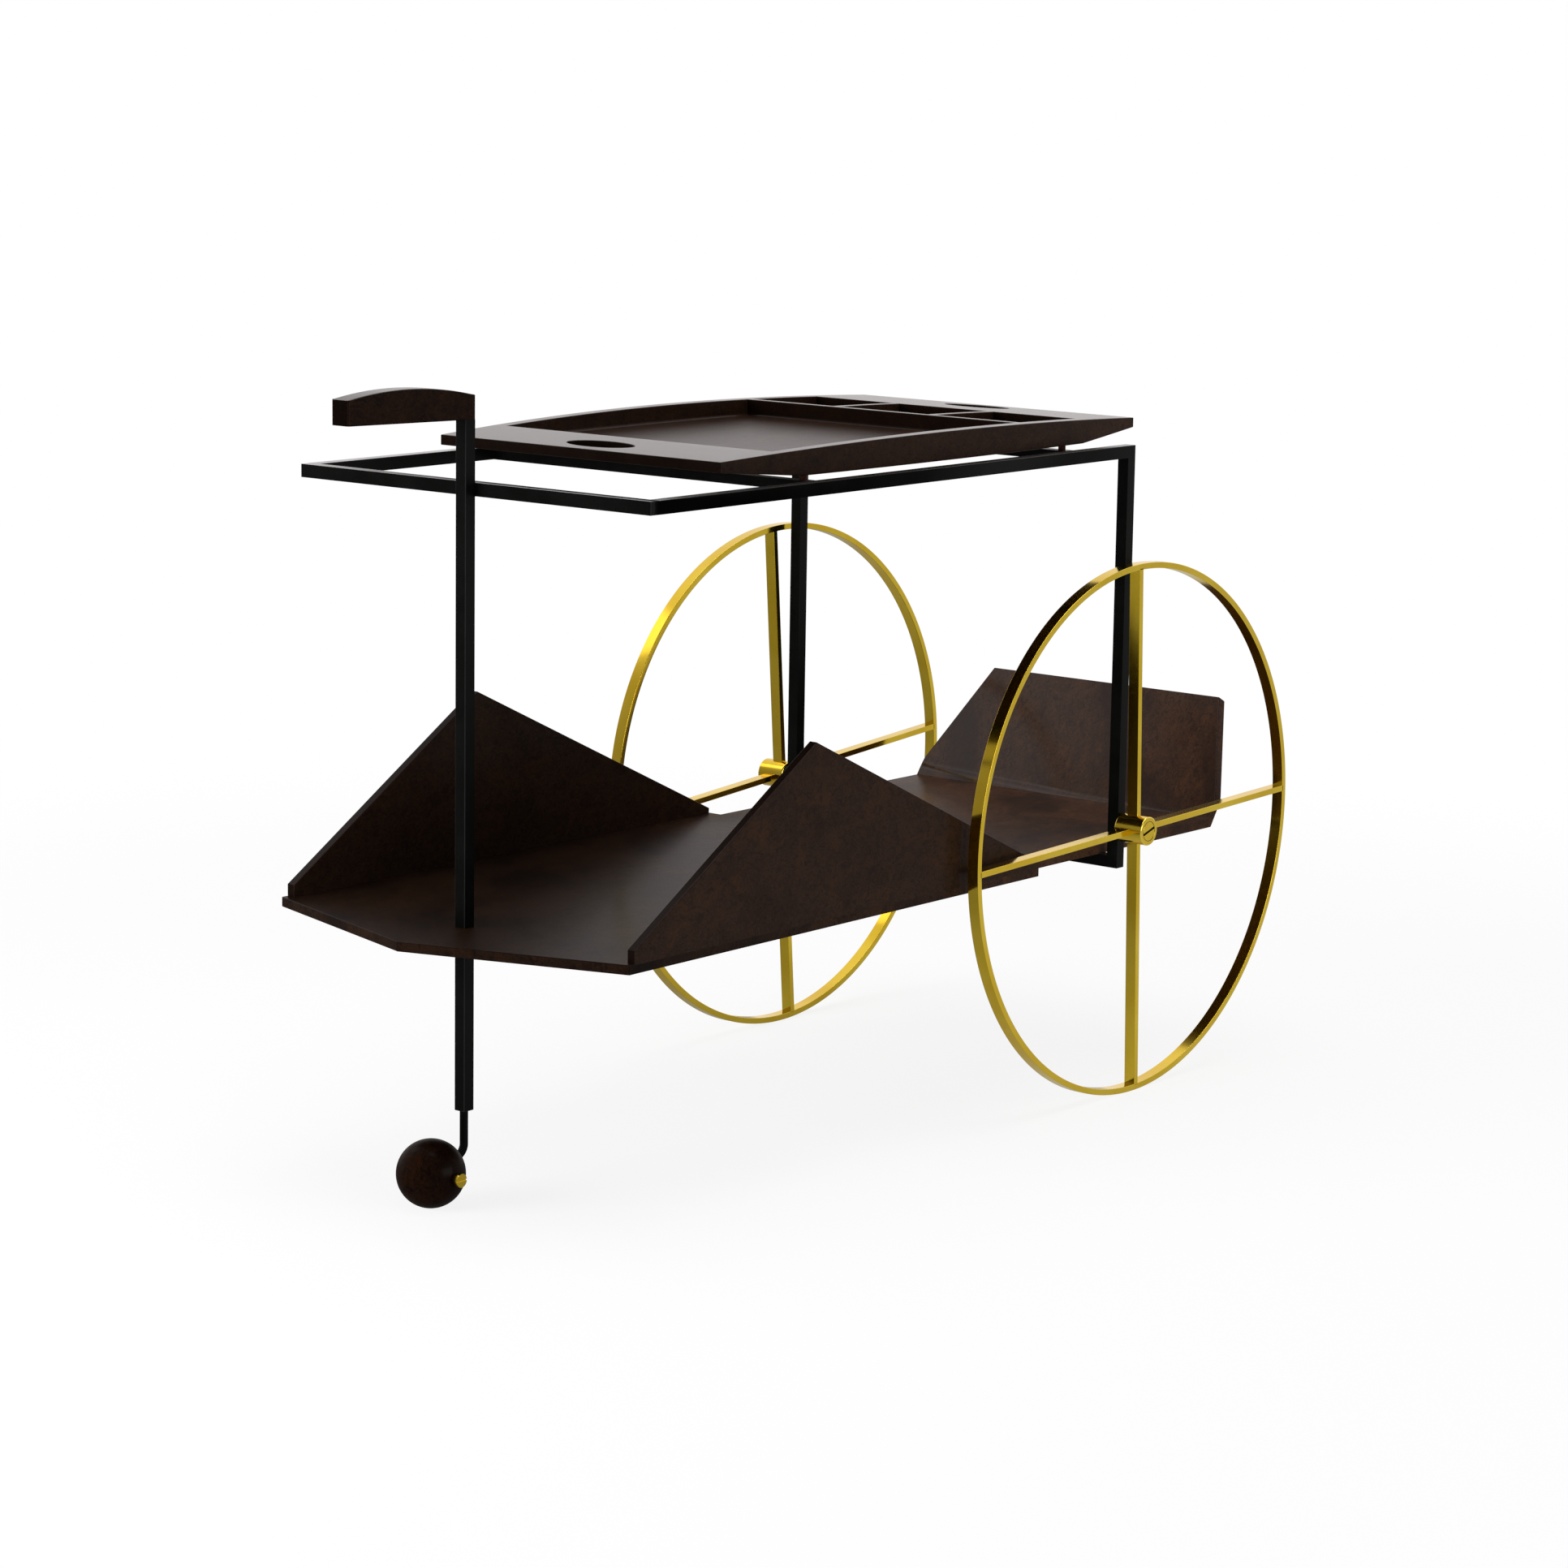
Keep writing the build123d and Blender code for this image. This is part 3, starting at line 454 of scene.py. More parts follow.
def finished(skin, name, body, nodes, materials, polished=None):
    """Polished gives how much the varnish or paint shines on a face, from 0 to 1."""
    mesh = bpy.data.meshes.new(name)
    bmesh.ops.recalc_face_normals(skin, faces=skin.faces)
    if polished:
        shine = skin.faces.layers.float.new("polish")
        skin.normal_update()
        for face in skin.faces:
            face[shine] = polished(face)
    skin.to_mesh(mesh)
    skin.free()
    mesh.shade_smooth()
    mesh.set_sharp_from_angle(angle=SHADED_SMOOTH)
    draft = bpy.data.objects.new(name + "_draft", mesh)
    bpy.context.scene.collection.objects.link(draft)
    modifier = draft.modifiers.new("even_shading", "WEIGHTED_NORMAL")
    modifier.keep_sharp = True
    bpy.context.view_layer.update()
    drafted = draft.evaluated_get(bpy.context.evaluated_depsgraph_get())
    final = bpy.data.meshes.new_from_object(drafted)
    final.name = name
    bpy.data.objects.remove(draft)
    piece = bpy.data.objects.new(name, final)
    final.materials.clear()
    for material in materials:
        final.materials.append(material)
    bpy.context.scene.collection.objects.link(piece)
    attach(piece, body)
    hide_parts(*nodes)


def boolean(skin, cutter, operation):
    """Joins one bmesh with another, or cuts it by the other, and returns the result."""
    drafts = []
    for part in (skin, cutter):
        mesh = bpy.data.meshes.new("boolean_part")
        part.to_mesh(mesh)
        part.free()
        drafts.append(bpy.data.objects.new("boolean_part", mesh))
        bpy.context.scene.collection.objects.link(drafts[-1])
    modifier = drafts[0].modifiers.new("cut", "BOOLEAN")
    modifier.operation = operation
    modifier.solver = "EXACT"
    modifier.object = drafts[1]
    bpy.context.view_layer.update()
    cut = drafts[0].evaluated_get(bpy.context.evaluated_depsgraph_get())
    mesh = bpy.data.meshes.new_from_object(cut)
    result = bmesh.new()
    result.from_mesh(mesh)
    for draft in drafts:
        bpy.data.objects.remove(draft)
    return result


# ---------------------------------------------------------------- welded frame

FRAME_BARS = [
    "end_rail", "side_rail_right", "side_rail_left", "tray_crossbar_front", "tray_crossbar_rear",
    "rear_leg_right", "rear_leg_left", "shelf_crossbar", "front_post",
]
BAR_EDGE = 0.0006


def box_skin(low, high):
    """A plain box as a bmesh, for joining with others."""
    skin = bmesh.new()
    size = [b - a for a, b in zip(low, high)]
    middle = [(a + b) / 2 for a, b in zip(low, high)]
    bmesh.ops.create_cube(
        skin, size=1.0, matrix=Matrix.Translation(middle) @ Matrix.Diagonal((*size, 1.0))
    )
    return skin


def weld_frame():
    """All the bars as one welded piece, whose edges are then rounded."""
    whole = None
    for bar in FRAME_BARS:
        skin = box_skin(*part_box(bar))
        whole = skin if whole is None else boolean(whole, skin, "UNION")
    bmesh.ops.remove_doubles(whole, verts=whole.verts, dist=SAME_PLACE)
    bmesh.ops.dissolve_limit(whole, angle_limit=FLAT, verts=whole.verts, edges=whole.edges)
    round_off(whole, sharp_edges(whole), BAR_EDGE)
    finished(
        whole, "welded_frame", "frame", FRAME_BARS, [black_steel],
        polished=lambda face: 1.0 if face.normal.z > 0.95 else 0.0,
    )


weld_frame()


# ---------------------------------------------------------------- wooden boards of the frame

PANEL_REBATE = 0.001  # how deep the side panels stand in the shelf
SHELF_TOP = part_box("side_panel_right")[0][2] + PANEL_REBATE
PANEL_INNER_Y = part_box("side_panel_left")[0][1]
JOINT_BELOW, JOINT_ABOVE, JOINT_INWARDS = 0.0013, 0.0002, 0.0002
SCREW_HOLE_FACET, SCREW_HOLE_TOP = 0.004, 0.0008
PANEL_HOLE_FACET = 0.006
GRIP_EDGE, GRIP_FACET = 0.0012, 0.004
PANEL_EDGE = 0.0004
SHELF_FOLD, SHELF_EDGE = 0.0004, 0.0009
TAIL_FROM_X = 0.3


def at_shelf_joint(edge):
    """True for an edge where a side panel stands in the shelf, which has no gap."""
    low, high = SHELF_TOP - JOINT_BELOW, SHELF_TOP + JOINT_ABOVE
    inner = PANEL_INNER_Y - JOINT_INWARDS
    return all(low < v.co.z < high and abs(v.co.y) > inner for v in edge.verts)


def shelf_edge_shown(edge):
    """True for an edge of the shelf that's neither in a panel's joint nor part of a screw hole."""
    top = max(v.co.z for v in edge.verts)
    by_screw = edge.calc_length() < SCREW_HOLE_FACET and top < SHELF_TOP + SCREW_HOLE_TOP
    return not by_screw and not at_shelf_joint(edge)


def panel_edge_shown(edge):
    """True for an edge of a panel that's neither in its joint nor part of a screw hole."""
    return edge.calc_length() > PANEL_HOLE_FACET and not at_shelf_joint(edge)


def make_grip():
    grip = merged("handle_grip")
    darkened(grip, lambda face: 1.0 if face.normal.x < -0.9 else 0.0)
    edges = sharp_edges(grip, chosen=lambda edge: edge.calc_length() > GRIP_FACET)
    round_off(grip, edges, GRIP_EDGE, 4)
    finished(
        grip, "handle_grip_shaped", "frame", ["handle_grip"], [wood_grip],
        polished=lambda face: max(0.0, face.normal.z) ** 2,
    )


def make_side_panel(node):
    panel = merged(node)
    darkened(panel, lambda face: 1.0 if abs(face.normal.y) < 0.6 else 0.0)
    round_off(panel, sharp_edges(panel, chosen=panel_edge_shown), PANEL_EDGE, 2)
    finished(panel, node + "_edged", "frame", [node], [wood_panel])


def tail_front(face):
    """True for the side of the upturned tail that faces the grip."""
    return face.normal.x < -0.75


def make_shelf():
    shelf = merged("shelf_board")
    # painted shade: the tail's upturned face is darkened, against the painted light that rises
    # towards the rear
    darkened(shelf, lambda f: 0.50 if tail_front(f) and f.normal.z > 0.4 else 0.0)
    shown = sharp_edges(shelf, chosen=shelf_edge_shown)
    round_off(shelf, [e for e in shown if not e.is_convex], SHELF_FOLD, 2)
    round_off(shelf, [e for e in shown if e.is_valid and e.is_convex], SHELF_EDGE, 3)
    finished(
        shelf, "shelf_board_edged", "frame", ["shelf_board"], [wood_shelf],
        polished=lambda f: 0.60
        if tail_front(f) and f.calc_center_median().x > TAIL_FROM_X
        else 0.0,
    )


make_grip()
make_side_panel("side_panel_right")
make_side_panel("side_panel_left")
make_shelf()


# ---------------------------------------------------------------- spoked wheels

RIM_LOW, RIM_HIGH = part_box("wheel_rim_left")
RIM_RADIUS = (RIM_HIGH[0] - RIM_LOW[0]) / 2
RIM_WIDTH = RIM_HIGH[1] - RIM_LOW[1]
RIM_THICKNESS = 0.00635
RIM_EDGE, HUB_EDGE, SCREW_EDGE = 0.00045, 0.0005, 0.00035
RIM_SIDES = 240
HUB_RADIUS = 0.015
SPOKE_COUNT = 4
SPOKE_IN_HUB = 0.0004
SPOKE_IN_RIM = 0.8  # where a spoke ends in the rim, as a share of the bar's thickness
WHEEL_FACE = RIM_HIGH[1]
WHEEL_ANGLES = {"right": 1.8, "left": 4.5}  # degrees
AXLE_PLACE = tuple((a + b) / 2 for a, b in zip(RIM_LOW, RIM_HIGH))
GRIME_FROM, GRIME_TO = 0.0095, 0.0105  # the ring round the screw's head, from the axle
SCREW_FACE_DEPTH = 0.0001


def grimed(skin, chosen):
    """Marks the faces where polish can't reach, by their middle and its distance from the axle."""
    mark = skin.faces.layers.float.new("grime")
    for face in skin.faces:
        middle = face.calc_center_median()
        reach = Vector((middle.x - AXLE_PLACE[0], middle.z - AXLE_PLACE[2])).length
        face[mark] = 1.0 if chosen(middle, reach) else 0.0


def tree_input(tree, name, kind, value=None):
    """Adds a named input, with its default if it has one, to a geometry tree."""
    made = tree.interface.new_socket(name, in_out="INPUT", socket_type=kind)
    if value is not None:
        made.default_value = value


def spoked_wheel_tree():
    """A flat-bar rim and its spokes, drawn in the XZ plane round the origin."""
    tree = bpy.data.node_groups.new("spoked_wheel", "GeometryNodeTree")
    tree_input(tree, "Rim Radius", "NodeSocketFloat", RIM_RADIUS)
    tree_input(tree, "Bar Width", "NodeSocketFloat", RIM_WIDTH)
    tree_input(tree, "Bar Thickness", "NodeSocketFloat", RIM_THICKNESS)
    tree_input(tree, "Hub Radius", "NodeSocketFloat", HUB_RADIUS)
    tree_input(tree, "Edge Radius", "NodeSocketFloat", RIM_EDGE)
    tree_input(tree, "Spoke Count", "NodeSocketInt", SPOKE_COUNT)
    tree_input(tree, "Turn", "NodeSocketFloat", 0.0)
    tree_input(tree, "Centre", "NodeSocketVector", (0.0, 0.0, 0.0))
    tree_input(tree, "Finish", "NodeSocketMaterial")
    tree.interface.new_socket("Geometry", in_out="OUTPUT", socket_type="NodeSocketGeometry")
    w = Wire(tree)
    entry = tree.nodes.new("NodeGroupInput")
    given = {o.name: Wire(tree, o) for o in entry.outputs if o.name}

    bar = w.node(
        "GeometryNodeCurvePrimitiveQuadrilateral",
        {"Width": given["Bar Thickness"], "Height": given["Bar Width"]},
    )
    bar = w.node(
        "GeometryNodeFilletCurve",
        {"Curve": bar, "Radius": given["Edge Radius"], "Count": 3, "Limit Radius": True},
        mode="POLY",
    )
    ring = w.node(
        "GeometryNodeCurvePrimitiveCircle",
        {"Resolution": RIM_SIDES, "Radius": given["Rim Radius"] - given["Bar Thickness"] * 0.5},
    )
    rim = w.node("GeometryNodeCurveToMesh", {"Curve": ring, "Profile Curve": bar})

    start = w.node("ShaderNodeCombineXYZ", {"X": given["Hub Radius"] - SPOKE_IN_HUB})
    reach = given["Rim Radius"] - given["Bar Thickness"] * SPOKE_IN_RIM
    end = w.node("ShaderNodeCombineXYZ", {"X": reach})
    line = w.node("GeometryNodeCurvePrimitiveLine", {"Start": start, "End": end})
    spoke = w.node(
        "GeometryNodeCurveToMesh", {"Curve": line, "Profile Curve": bar, "Fill Caps": True}
    )
    points = w.node("GeometryNodePoints", {"Count": given["Spoke Count"]})
    number = w.node("GeometryNodeInputIndex")
    step = w.math("DIVIDE", 2 * pi, given["Spoke Count"])
    angle = number * step + given["Turn"]
    turns = w.node("ShaderNodeCombineXYZ", {"Z": angle})
    spokes = w.node(
        "GeometryNodeInstanceOnPoints", {"Points": points, "Instance": spoke, "Rotation": turns}
    )
    spokes = w.node("GeometryNodeRealizeInstances", {"Geometry": spokes})
    joined = tree.nodes.new("GeometryNodeJoinGeometry")
    for part in (spokes, rim):
        tree.links.new(part.socket, joined.inputs[0])
    upright = w.node(
        "GeometryNodeTransform",
        {
            "Geometry": Wire(tree, joined.outputs[0]),
            "Rotation": (pi / 2, 0.0, 0.0),
            "Translation": given["Centre"],
        },
    )
    whole = w.node("GeometryNodeRealizeInstances", {"Geometry": upright})
    coloured = w.node("GeometryNodeSetMaterial", {"Geometry": whole, "Material": given["Finish"]})
    leave = tree.nodes.new("NodeGroupOutput")
    tree.links.new(coloured.socket, leave.inputs[0])
    return tree


def make_wheel(tree, side, sign):
    """One wheel's rim and spokes from the tree, turned into a plain mesh."""
    draft = bpy.data.objects.new("wheel_draft", bpy.data.meshes.new("wheel_draft"))
    bpy.context.scene.collection.objects.link(draft)
    modifier = draft.modifiers.new("wheel", "NODES")
    modifier.node_group = tree
    values = {
        "Turn": radians(WHEEL_ANGLES[side]),
        "Centre": (AXLE_PLACE[0], sign * (WHEEL_FACE - RIM_WIDTH / 2), AXLE_PLACE[2]),
        "Finish": brass,
    }
    for item in tree.interface.items_tree:
        if item.item_type == "SOCKET" and item.in_out == "INPUT" and item.name in values:
            modifier[item.identifier] = values[item.name]
    bpy.context.view_layer.update()
    drafted = draft.evaluated_get(bpy.context.evaluated_depsgraph_get())
    skin = bmesh.new()
    skin.from_mesh(bpy.data.meshes.new_from_object(drafted))
    bpy.data.objects.remove(draft)
    nodes = [f"wheel_rim_{side}"] + [f"spoke_{side}_{n + 1}" for n in range(SPOKE_COUNT)]
    finished(skin, f"wheel_{side}_rim_and_spokes", f"wheel_{side}", nodes, [brass])


def make_hub(side):
    """The turned hub of a wheel, with grime in the ring round its screw."""
    node = f"wheel_hub_{side}"
    hub = merged(node)
    round_off(hub, sharp_edges(hub), HUB_EDGE)
    grimed(hub, lambda middle, reach: GRIME_FROM < reach < GRIME_TO)
    finished(hub, node + "_turned", f"wheel_{side}", [node], [brass])


def make_hub_screw(side):
    """The slotted screw that keeps a wheel on, with grime behind its face and in its slot."""
    node = f"hub_screw_{side}"
    screw = merged(node)
    round_off(screw, sharp_edges(screw), SCREW_EDGE, 2)
    face_y = max(abs(v.co.y) for v in screw.verts) - SCREW_FACE_DEPTH
    grimed(screw, lambda middle, reach: abs(middle.y) < face_y)
    finished(screw, node + "_turned", "frame", [node], [brass])


wheel_tree = spoked_wheel_tree()
for side, sign in (("right", -1), ("left", 1)):
    make_wheel(wheel_tree, side, sign)
    make_hub(side)
    make_hub_screw(side)


# ---------------------------------------------------------------- lift-off tray

TRAY = {
    "front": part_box("tray_end_front")[0][0],
    "rear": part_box("tray_end_rear")[1][0],
    "well_front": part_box("tray_end_front")[1][0],
    "well_rear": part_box("tray_end_rear")[0][0],
    "divider_front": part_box("tray_divider_long")[0][0],
    "divider_rear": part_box("tray_divider_long")[1][0],
    "low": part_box("tray_floor")[0][2],
    "floor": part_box("tray_floor")[1][2],
    "crown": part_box("tray_side_right")[1][2],
    "end_half_width": 0.178,
    "middle_half_width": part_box("tray_side_left")[1][1],
    "wall": 0.015,
    "end_height": 0.0200,
    "end_edge": 0.010,
    "front_wedge": 0.112,
    "rear_wedge": 0.099,
    "short_near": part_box("tray_divider_left")[0][1],
    "short_far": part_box("tray_divider_left")[1][1],
}
SIDE, END, FLOOR, LONG_DIVIDER, SHORT_DIVIDER = range(5)
LENGTHWAYS, CROSSWAYS, WELL = range(3)  # the order of the shell's materials
TRAY_FINISHES = {
    SIDE: LENGTHWAYS, END: CROSSWAYS, FLOOR: WELL, LONG_DIVIDER: CROSSWAYS,
    SHORT_DIVIDER: LENGTHWAYS,
}
STRIPS = 7  # side, well, short divider, well, short divider, well, side
STATION_STEP = 0.014
TRAY_COVE, TRAY_EDGE = 0.0035, 0.0009
HOLE_HALF_LENGTH, HOLE_HALF_WIDTH, HOLE_FROM_END = 0.019, 0.040, 0.034
HOLE_SIDES, HOLE_OVERSHOOT, HOLE_MARGIN = 72, 0.02, 0.0005
WELL_POLISH = 0.27


def bow(x, at_ends, at_middle):
    """The height at x of an arc that runs between the tray's ends through its middle."""
    half = (TRAY["rear"] - TRAY["front"]) / 2
    rise = at_middle - at_ends
    radius = (half * half + rise * rise) / (2 * rise)
    from_middle = x - (TRAY["rear"] + TRAY["front"]) / 2
    return at_middle - radius + sqrt(radius * radius - from_middle * from_middle)


def tray_skin():
    """The whole tray: bowed sides, arched top, wedge-ended bottom, well and dividers."""
    t = TRAY
    end_low = t["low"] + t["end_height"] - t["end_edge"]
    xs = [
        t["front"], t["well_front"], t["front"] + t["front_wedge"], t["divider_front"],
        t["divider_rear"], t["rear"] - t["rear_wedge"], t["well_rear"], t["rear"],
    ]
    stations = []
    for a, b in zip(xs, xs[1:]):
        count = max(1, round((b - a) / STATION_STEP))
        stations += [a + (b - a) * k / count for k in range(count)]
    stations.append(xs[-1])

    def rows(x):
        outer = bow(x, t["end_half_width"], t["middle_half_width"])
        inner = outer - t["wall"]
        near, far = t["short_near"], t["short_far"]
        return [-outer, -inner, -far, -near, near, far, inner, outer]

    def top(x):
        return bow(x, t["low"] + t["end_height"], t["crown"])

    def under(x):
        if x < t["front"] + t["front_wedge"]:
            share = (t["front"] + t["front_wedge"] - x) / t["front_wedge"]
        elif x > t["rear"] - t["rear_wedge"]:
            share = (x - t["rear"] + t["rear_wedge"]) / t["rear_wedge"]
        else:
            share = 0.0
        return t["low"] + share * (end_low - t["low"])

    def kind(x, strip):
        """Which of the tray's boards a strip belongs to at x."""
        if strip in (0, STRIPS - 1):
            return SIDE
        if x < t["well_front"] or x > t["well_rear"]:
            return END
        if t["divider_front"] < x < t["divider_rear"]:
            return LONG_DIVIDER
        if x > t["divider_rear"] and strip in (2, 4):
            return SHORT_DIVIDER
        return FLOOR

    skin = bmesh.new()
    corners = {}

    def corner(i, j, level):
        key = (i, j, level)
        if key not in corners:
            x = stations[i]
            z = {"top": top(x), "floor": t["floor"], "under": under(x)}[level]
            corners[key] = skin.verts.new((x, rows(x)[j], z))
        return corners[key]

    def face(points, board):
        """A face through points, each a station, a row and a level, in its board's finish."""
        made = skin.faces.new([corner(*point) for point in points])
        made.material_index = TRAY_FINISHES[board]

    last = len(stations) - 1
    kinds = [
        [kind((stations[i] + stations[i + 1]) / 2, j) for j in range(STRIPS)] for i in range(last)
    ]

    def level(i, j):
        return "floor" if kinds[i][j] == FLOOR else "top"

    for i in range(last):
        for j in range(STRIPS):
            board, here, n, m = kinds[i][j], level(i, j), i + 1, j + 1
            face([(i, j, here), (n, j, here), (n, m, here), (i, m, here)], board)
            face([(i, j, "under"), (i, m, "under"), (n, m, "under"), (n, j, "under")], board)
            if m < STRIPS and level(i, m) != here:
                wall = board if here == "top" else kinds[i][m]
                face([(i, m, "top"), (n, m, "top"), (n, m, "floor"), (i, m, "floor")], wall)
            if n < last and level(n, j) != here:
                wall = board if here == "top" else kinds[n][j]
                face([(n, j, "top"), (n, m, "top"), (n, m, "floor"), (n, j, "floor")], wall)
        for j in (0, STRIPS):
            face([(i, j, "top"), (n, j, "top"), (n, j, "under"), (i, j, "under")], SIDE)
    for i in (0, last):
        for j in range(STRIPS):
            board, m = SIDE if j in (0, STRIPS - 1) else END, j + 1
            face([(i, j, "top"), (i, m, "top"), (i, m, "under"), (i, j, "under")], board)
    bmesh.ops.recalc_face_normals(skin, faces=skin.faces)
    return skin


def oval_cutter(x):
    """An upright oval prism that cuts a finger hole right through an end board."""
    skin = bmesh.new()
    angles = [2 * pi * k / HOLE_SIDES for k in range(HOLE_SIDES)]
    rings = []
    for z in (TRAY["low"] - HOLE_OVERSHOOT, TRAY["crown"] + HOLE_OVERSHOOT):
        rings.append([
            skin.verts.new((x + HOLE_HALF_LENGTH * cos(a), HOLE_HALF_WIDTH * sin(a), z))
            for a in angles
        ])
    skin.faces.new(rings[0][::-1])
    skin.faces.new(rings[1])
    for k in range(HOLE_SIDES):
        n = (k + 1) % HOLE_SIDES
        skin.faces.new([rings[0][k], rings[0][n], rings[1][n], rings[1][k]])
    bmesh.ops.recalc_face_normals(skin, faces=skin.faces)
    return skin


def tray_polish(face):
    """How much the varnish shines: most on the upper faces of the ends, less in the well."""
    in_well = face.calc_center_median().z < TRAY["floor"] + 0.001
    return max(0.0, face.normal.z) ** 2 * (WELL_POLISH if in_well else 1.0)


def in_hole(face, holes):
    """True for a face of a finger hole's wall."""
    middle = face.calc_center_median()
    from_hole = min(abs(middle.x - x) for x in holes)
    return (
        abs(face.normal.z) < 0.3
        and from_hole < HOLE_HALF_LENGTH + HOLE_MARGIN
        and abs(middle.y) < HOLE_HALF_WIDTH + HOLE_MARGIN
    )


def make_tray():
    skin = tray_skin()
    # faces towards the front and rear are darkened: end grain on the sides' ends, painted shade on
    # the end boards and the well's end walls
    darkened(skin, lambda f: 0.9 if abs(f.normal.x) > 0.9 and abs(f.normal.z) < 0.2 else 0.0)
    holes = (TRAY["front"] + HOLE_FROM_END, TRAY["rear"] - HOLE_FROM_END)
    for x in holes:
        skin = boolean(skin, oval_cutter(x), "DIFFERENCE")
    bmesh.ops.remove_doubles(skin, verts=skin.verts, dist=SAME_PLACE)
    darkening = skin.faces.layers.float["end_grain_and_painted_shade"]
    skin.normal_update()
    # painted shade: the walls of the finger holes are darkened fully
    for face in skin.faces:
        if in_hole(face, holes):
            face[darkening] = 1.0
    coves = [
        e for e in sharp_edges(skin, 40.0)
        if not e.is_convex and all(abs(v.co.z - TRAY["floor"]) < 1e-5 for v in e.verts)
    ]
    round_off(skin, coves, TRAY_COVE, 5)
    round_off(skin, [e for e in sharp_edges(skin, 40.0) if e.is_convex], TRAY_EDGE)
    nodes = [
        "tray_side_right", "tray_side_left", "tray_end_front", "tray_end_rear", "tray_floor",
        "tray_divider_long", "tray_divider_right", "tray_divider_left",
    ]
    finished(
        skin, "tray_shell", "tray", nodes, [wood_along_x, wood_along_y, wood_well],
        polished=tray_polish,
    )


make_tray()


# ---------------------------------------------------------------- finishes on the CAD pieces

CAD_FINISHES = {
    "tray_pegs": wood_peg,
    "castor_ball": wood_ball,
    "castor_stem": black_steel,
    "ball_axle": brass,
    "swivel_bush": brass,
}
for name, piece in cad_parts.items():
    finish = CAD_FINISHES.get(name)
    if finish is None:
        finish = nylon if ("washer" in name or "bush" in name) else plain_steel
    for slot in piece.material_slots:
        slot.material = finish


# ---------------------------------------------------------------- floor, background and light

FLOOR_RADII, FLOOR_SIDES = (6.0, 14.0), 96
FLOOR_COLOUR = (0.86, 0.86, 0.86, 1.0)
SHADOW_KEPT = 0.14  # how much of the shadow shows near the trolley
SHADOW_END, WHITE_FROM = 0.9, 2.2  # from the origin
MIRRORED_SHARE, MIRRORED_DARK, MIRRORED_BRIGHT = 0.9, 0.20, 0.60
BACKDROP_FRONT = 0.28  # how bright the room in front of the trolley is in its polish
SOFT_LIGHT = 0.26
ROOM_TINT = (1.0, 0.955, 0.960)


def light_path(w):
    """Where a ray comes from: seen by the camera or through glass, or mirrored in polish."""
    seen = w.node("ShaderNodeLightPath", output="Is Camera Ray")
    mirrored = w.node("ShaderNodeLightPath", output="Is Glossy Ray")
    through = w.node("ShaderNodeLightPath", output="Is Transmission Ray")
    return w.math("MAXIMUM", seen, through), mirrored


def towards(w, place, way):
    """How far a place lies along a way."""
    given = {0: place, 1: way}
    return w.node("ShaderNodeVectorMath", given, output="Value", operation="DOT_PRODUCT")


def glowing(w, strength):
    white = {"Color": (1.0, 1.0, 1.0, 1.0), "Strength": strength}
    return w.node("ShaderNodeEmission", white)


def mixed(w, share, first, second):
    return w.node("ShaderNodeMixShader", {0: share, 1: first, 2: second})


def white_floor():
    """White where the camera sees it, with the trolley's soft shadow; dimmer in the polish."""
    material, w, shader = new_finish("white_floor")
    shader.inputs["Base Color"].default_value = FLOOR_COLOUR
    shader.inputs["Roughness"].default_value = 1.0
    shader.inputs["Specular IOR Level"].default_value = 0.0
    shown, mirrored = light_path(w)
    reach = w.node("ShaderNodeVectorMath", {0: placed(w)}, output="Value", operation="LENGTH")
    whiteness = (1.0 - SHADOW_KEPT) + reach.above(SHADOW_END, WHITE_FROM) * SHADOW_KEPT
    rightward = towards(w, placed(w), (sin(CAMERA_YAW), -cos(CAMERA_YAW), 0.0))
    in_polish = mixed(
        w, rightward.above(-0.5, 0.7), glowing(w, MIRRORED_DARK), glowing(w, MIRRORED_BRIGHT)
    )
    lit = mixed(w, mirrored * MIRRORED_SHARE, Wire(w.tree, shader.outputs["BSDF"]), in_polish)
    whole = mixed(w, shown * whiteness, lit, glowing(w, 1.0))
    w.tree.links.new(whole.socket, w.tree.nodes["Material Output"].inputs["Surface"])
    return material


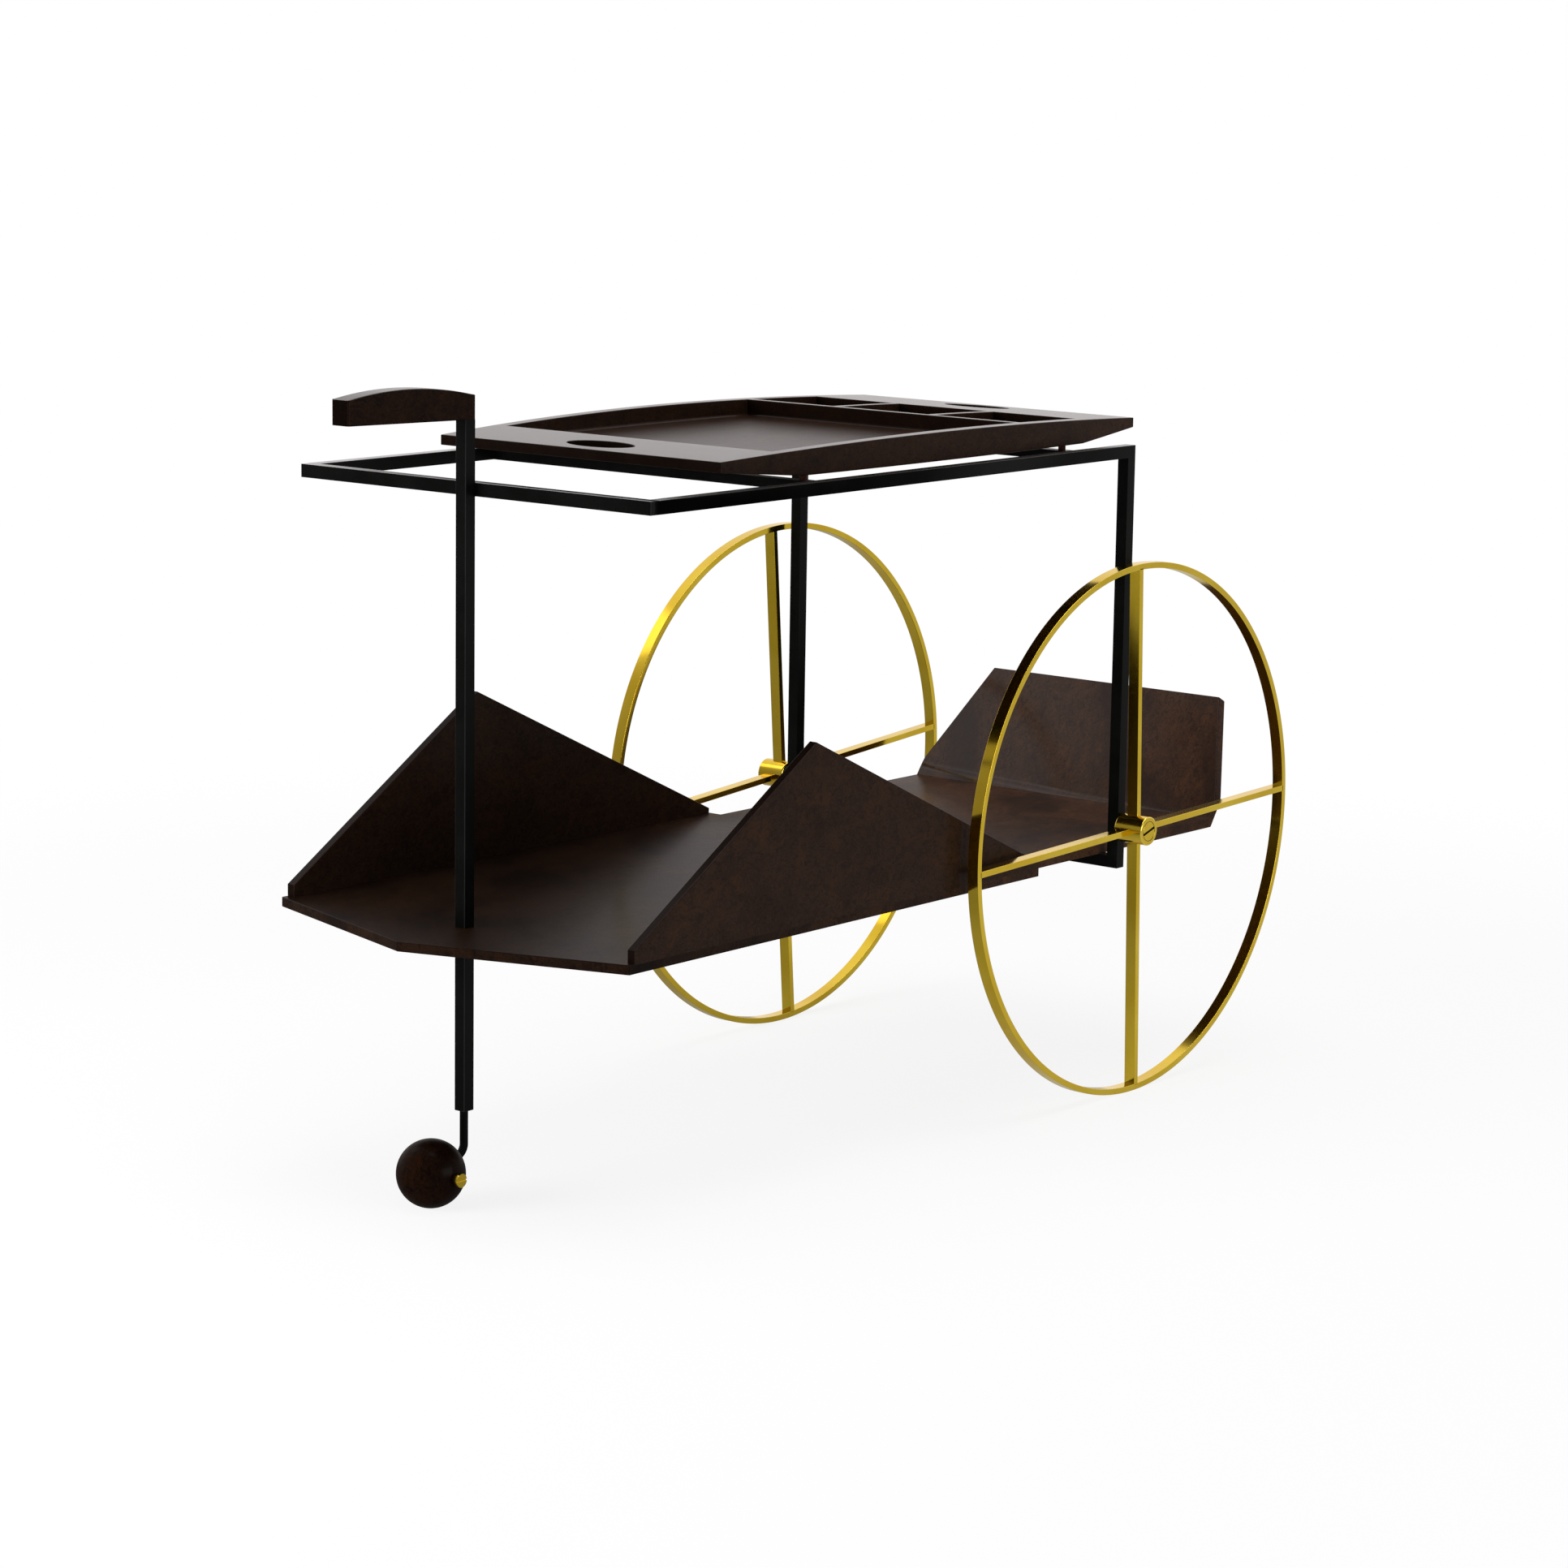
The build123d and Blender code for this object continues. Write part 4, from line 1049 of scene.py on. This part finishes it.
def studio_floor():
    """A wide white floor that keeps the trolley's shadow."""
    skin = bmesh.new()
    angles = [2 * pi * k / FLOOR_SIDES for k in range(FLOOR_SIDES)]
    inner, outer = (
        [skin.verts.new((radius * cos(a), radius * sin(a), 0.0)) for a in angles]
        for radius in FLOOR_RADII
    )
    skin.faces.new(inner)
    for k in range(FLOOR_SIDES):
        n = (k + 1) % FLOOR_SIDES
        skin.faces.new([inner[k], outer[k], outer[n], inner[n]])
    mesh = bpy.data.meshes.new("studio_floor")
    skin.to_mesh(mesh)
    skin.free()
    mesh.materials.append(white_floor())
    floor = bpy.data.objects.new("studio_floor", mesh)
    bpy.context.scene.collection.objects.link(floor)


def studio_background():
    """White behind the trolley, and a plain even light; mirrored, the room is dimmer in front."""
    world = bpy.data.worlds.new("studio")
    world.use_nodes = True
    bpy.context.scene.world = world
    w = Wire(world.node_tree)
    background = world.node_tree.nodes["Background"]
    shown, mirrored = light_path(w)
    way = w.node("ShaderNodeTexCoord", output="Generated")
    depth = towards(w, way, (cos(CAMERA_YAW), sin(CAMERA_YAW), 0.0))
    backdrop = depth.above(-0.30, 0.45) * (1.0 - BACKDROP_FRONT) + BACKDROP_FRONT
    unseen = 1.0 - shown
    feed(
        background, "Strength",
        shown + unseen * (mirrored * backdrop + (1.0 - mirrored) * SOFT_LIGHT),
    )
    feed(background, "Color", mirrored.blend((1.0, 1.0, 1.0), ROOM_TINT))


def soft_lamp(name, place, aim, size, power, mirrored=True):
    """A lamp of the given width and height that faces its aim; mirrored says if polish shows it."""
    data = bpy.data.lights.new(name, "AREA")
    data.shape = "RECTANGLE"
    data.size, data.size_y = size
    data.energy = power
    lamp = bpy.data.objects.new(name, data)
    lamp.location = place
    lamp.rotation_mode = "QUATERNION"
    lamp.rotation_quaternion = (Vector(aim) - Vector(place)).to_track_quat("-Z", "Y")
    lamp.visible_glossy = mirrored
    bpy.context.scene.collection.objects.link(lamp)


studio_floor()
studio_background()
soft_lamp("overhead_lamp", (0.3, -0.1, 3.0), (0.1, 0.0, 0.4), (2.4, 2.4), 55.0)
soft_lamp("side_lamp", (0.3, -3.4, 0.8), (0.1, 0.0, 0.35), (2.4, 1.2), 34.0)
soft_lamp("rear_upper_lamp", (-0.48, 2.0, 2.0), (0.55, 0.0, 0.3), (0.9, 0.9), 2.8)
soft_lamp("front_lamp", (-3.2, 1.3, 1.1), (0.3, 0.0, 0.35), (1.8, 1.2), 125.0, mirrored=False)


# ---------------------------------------------------------------- the closing line

bpy.context.view_layer.update()
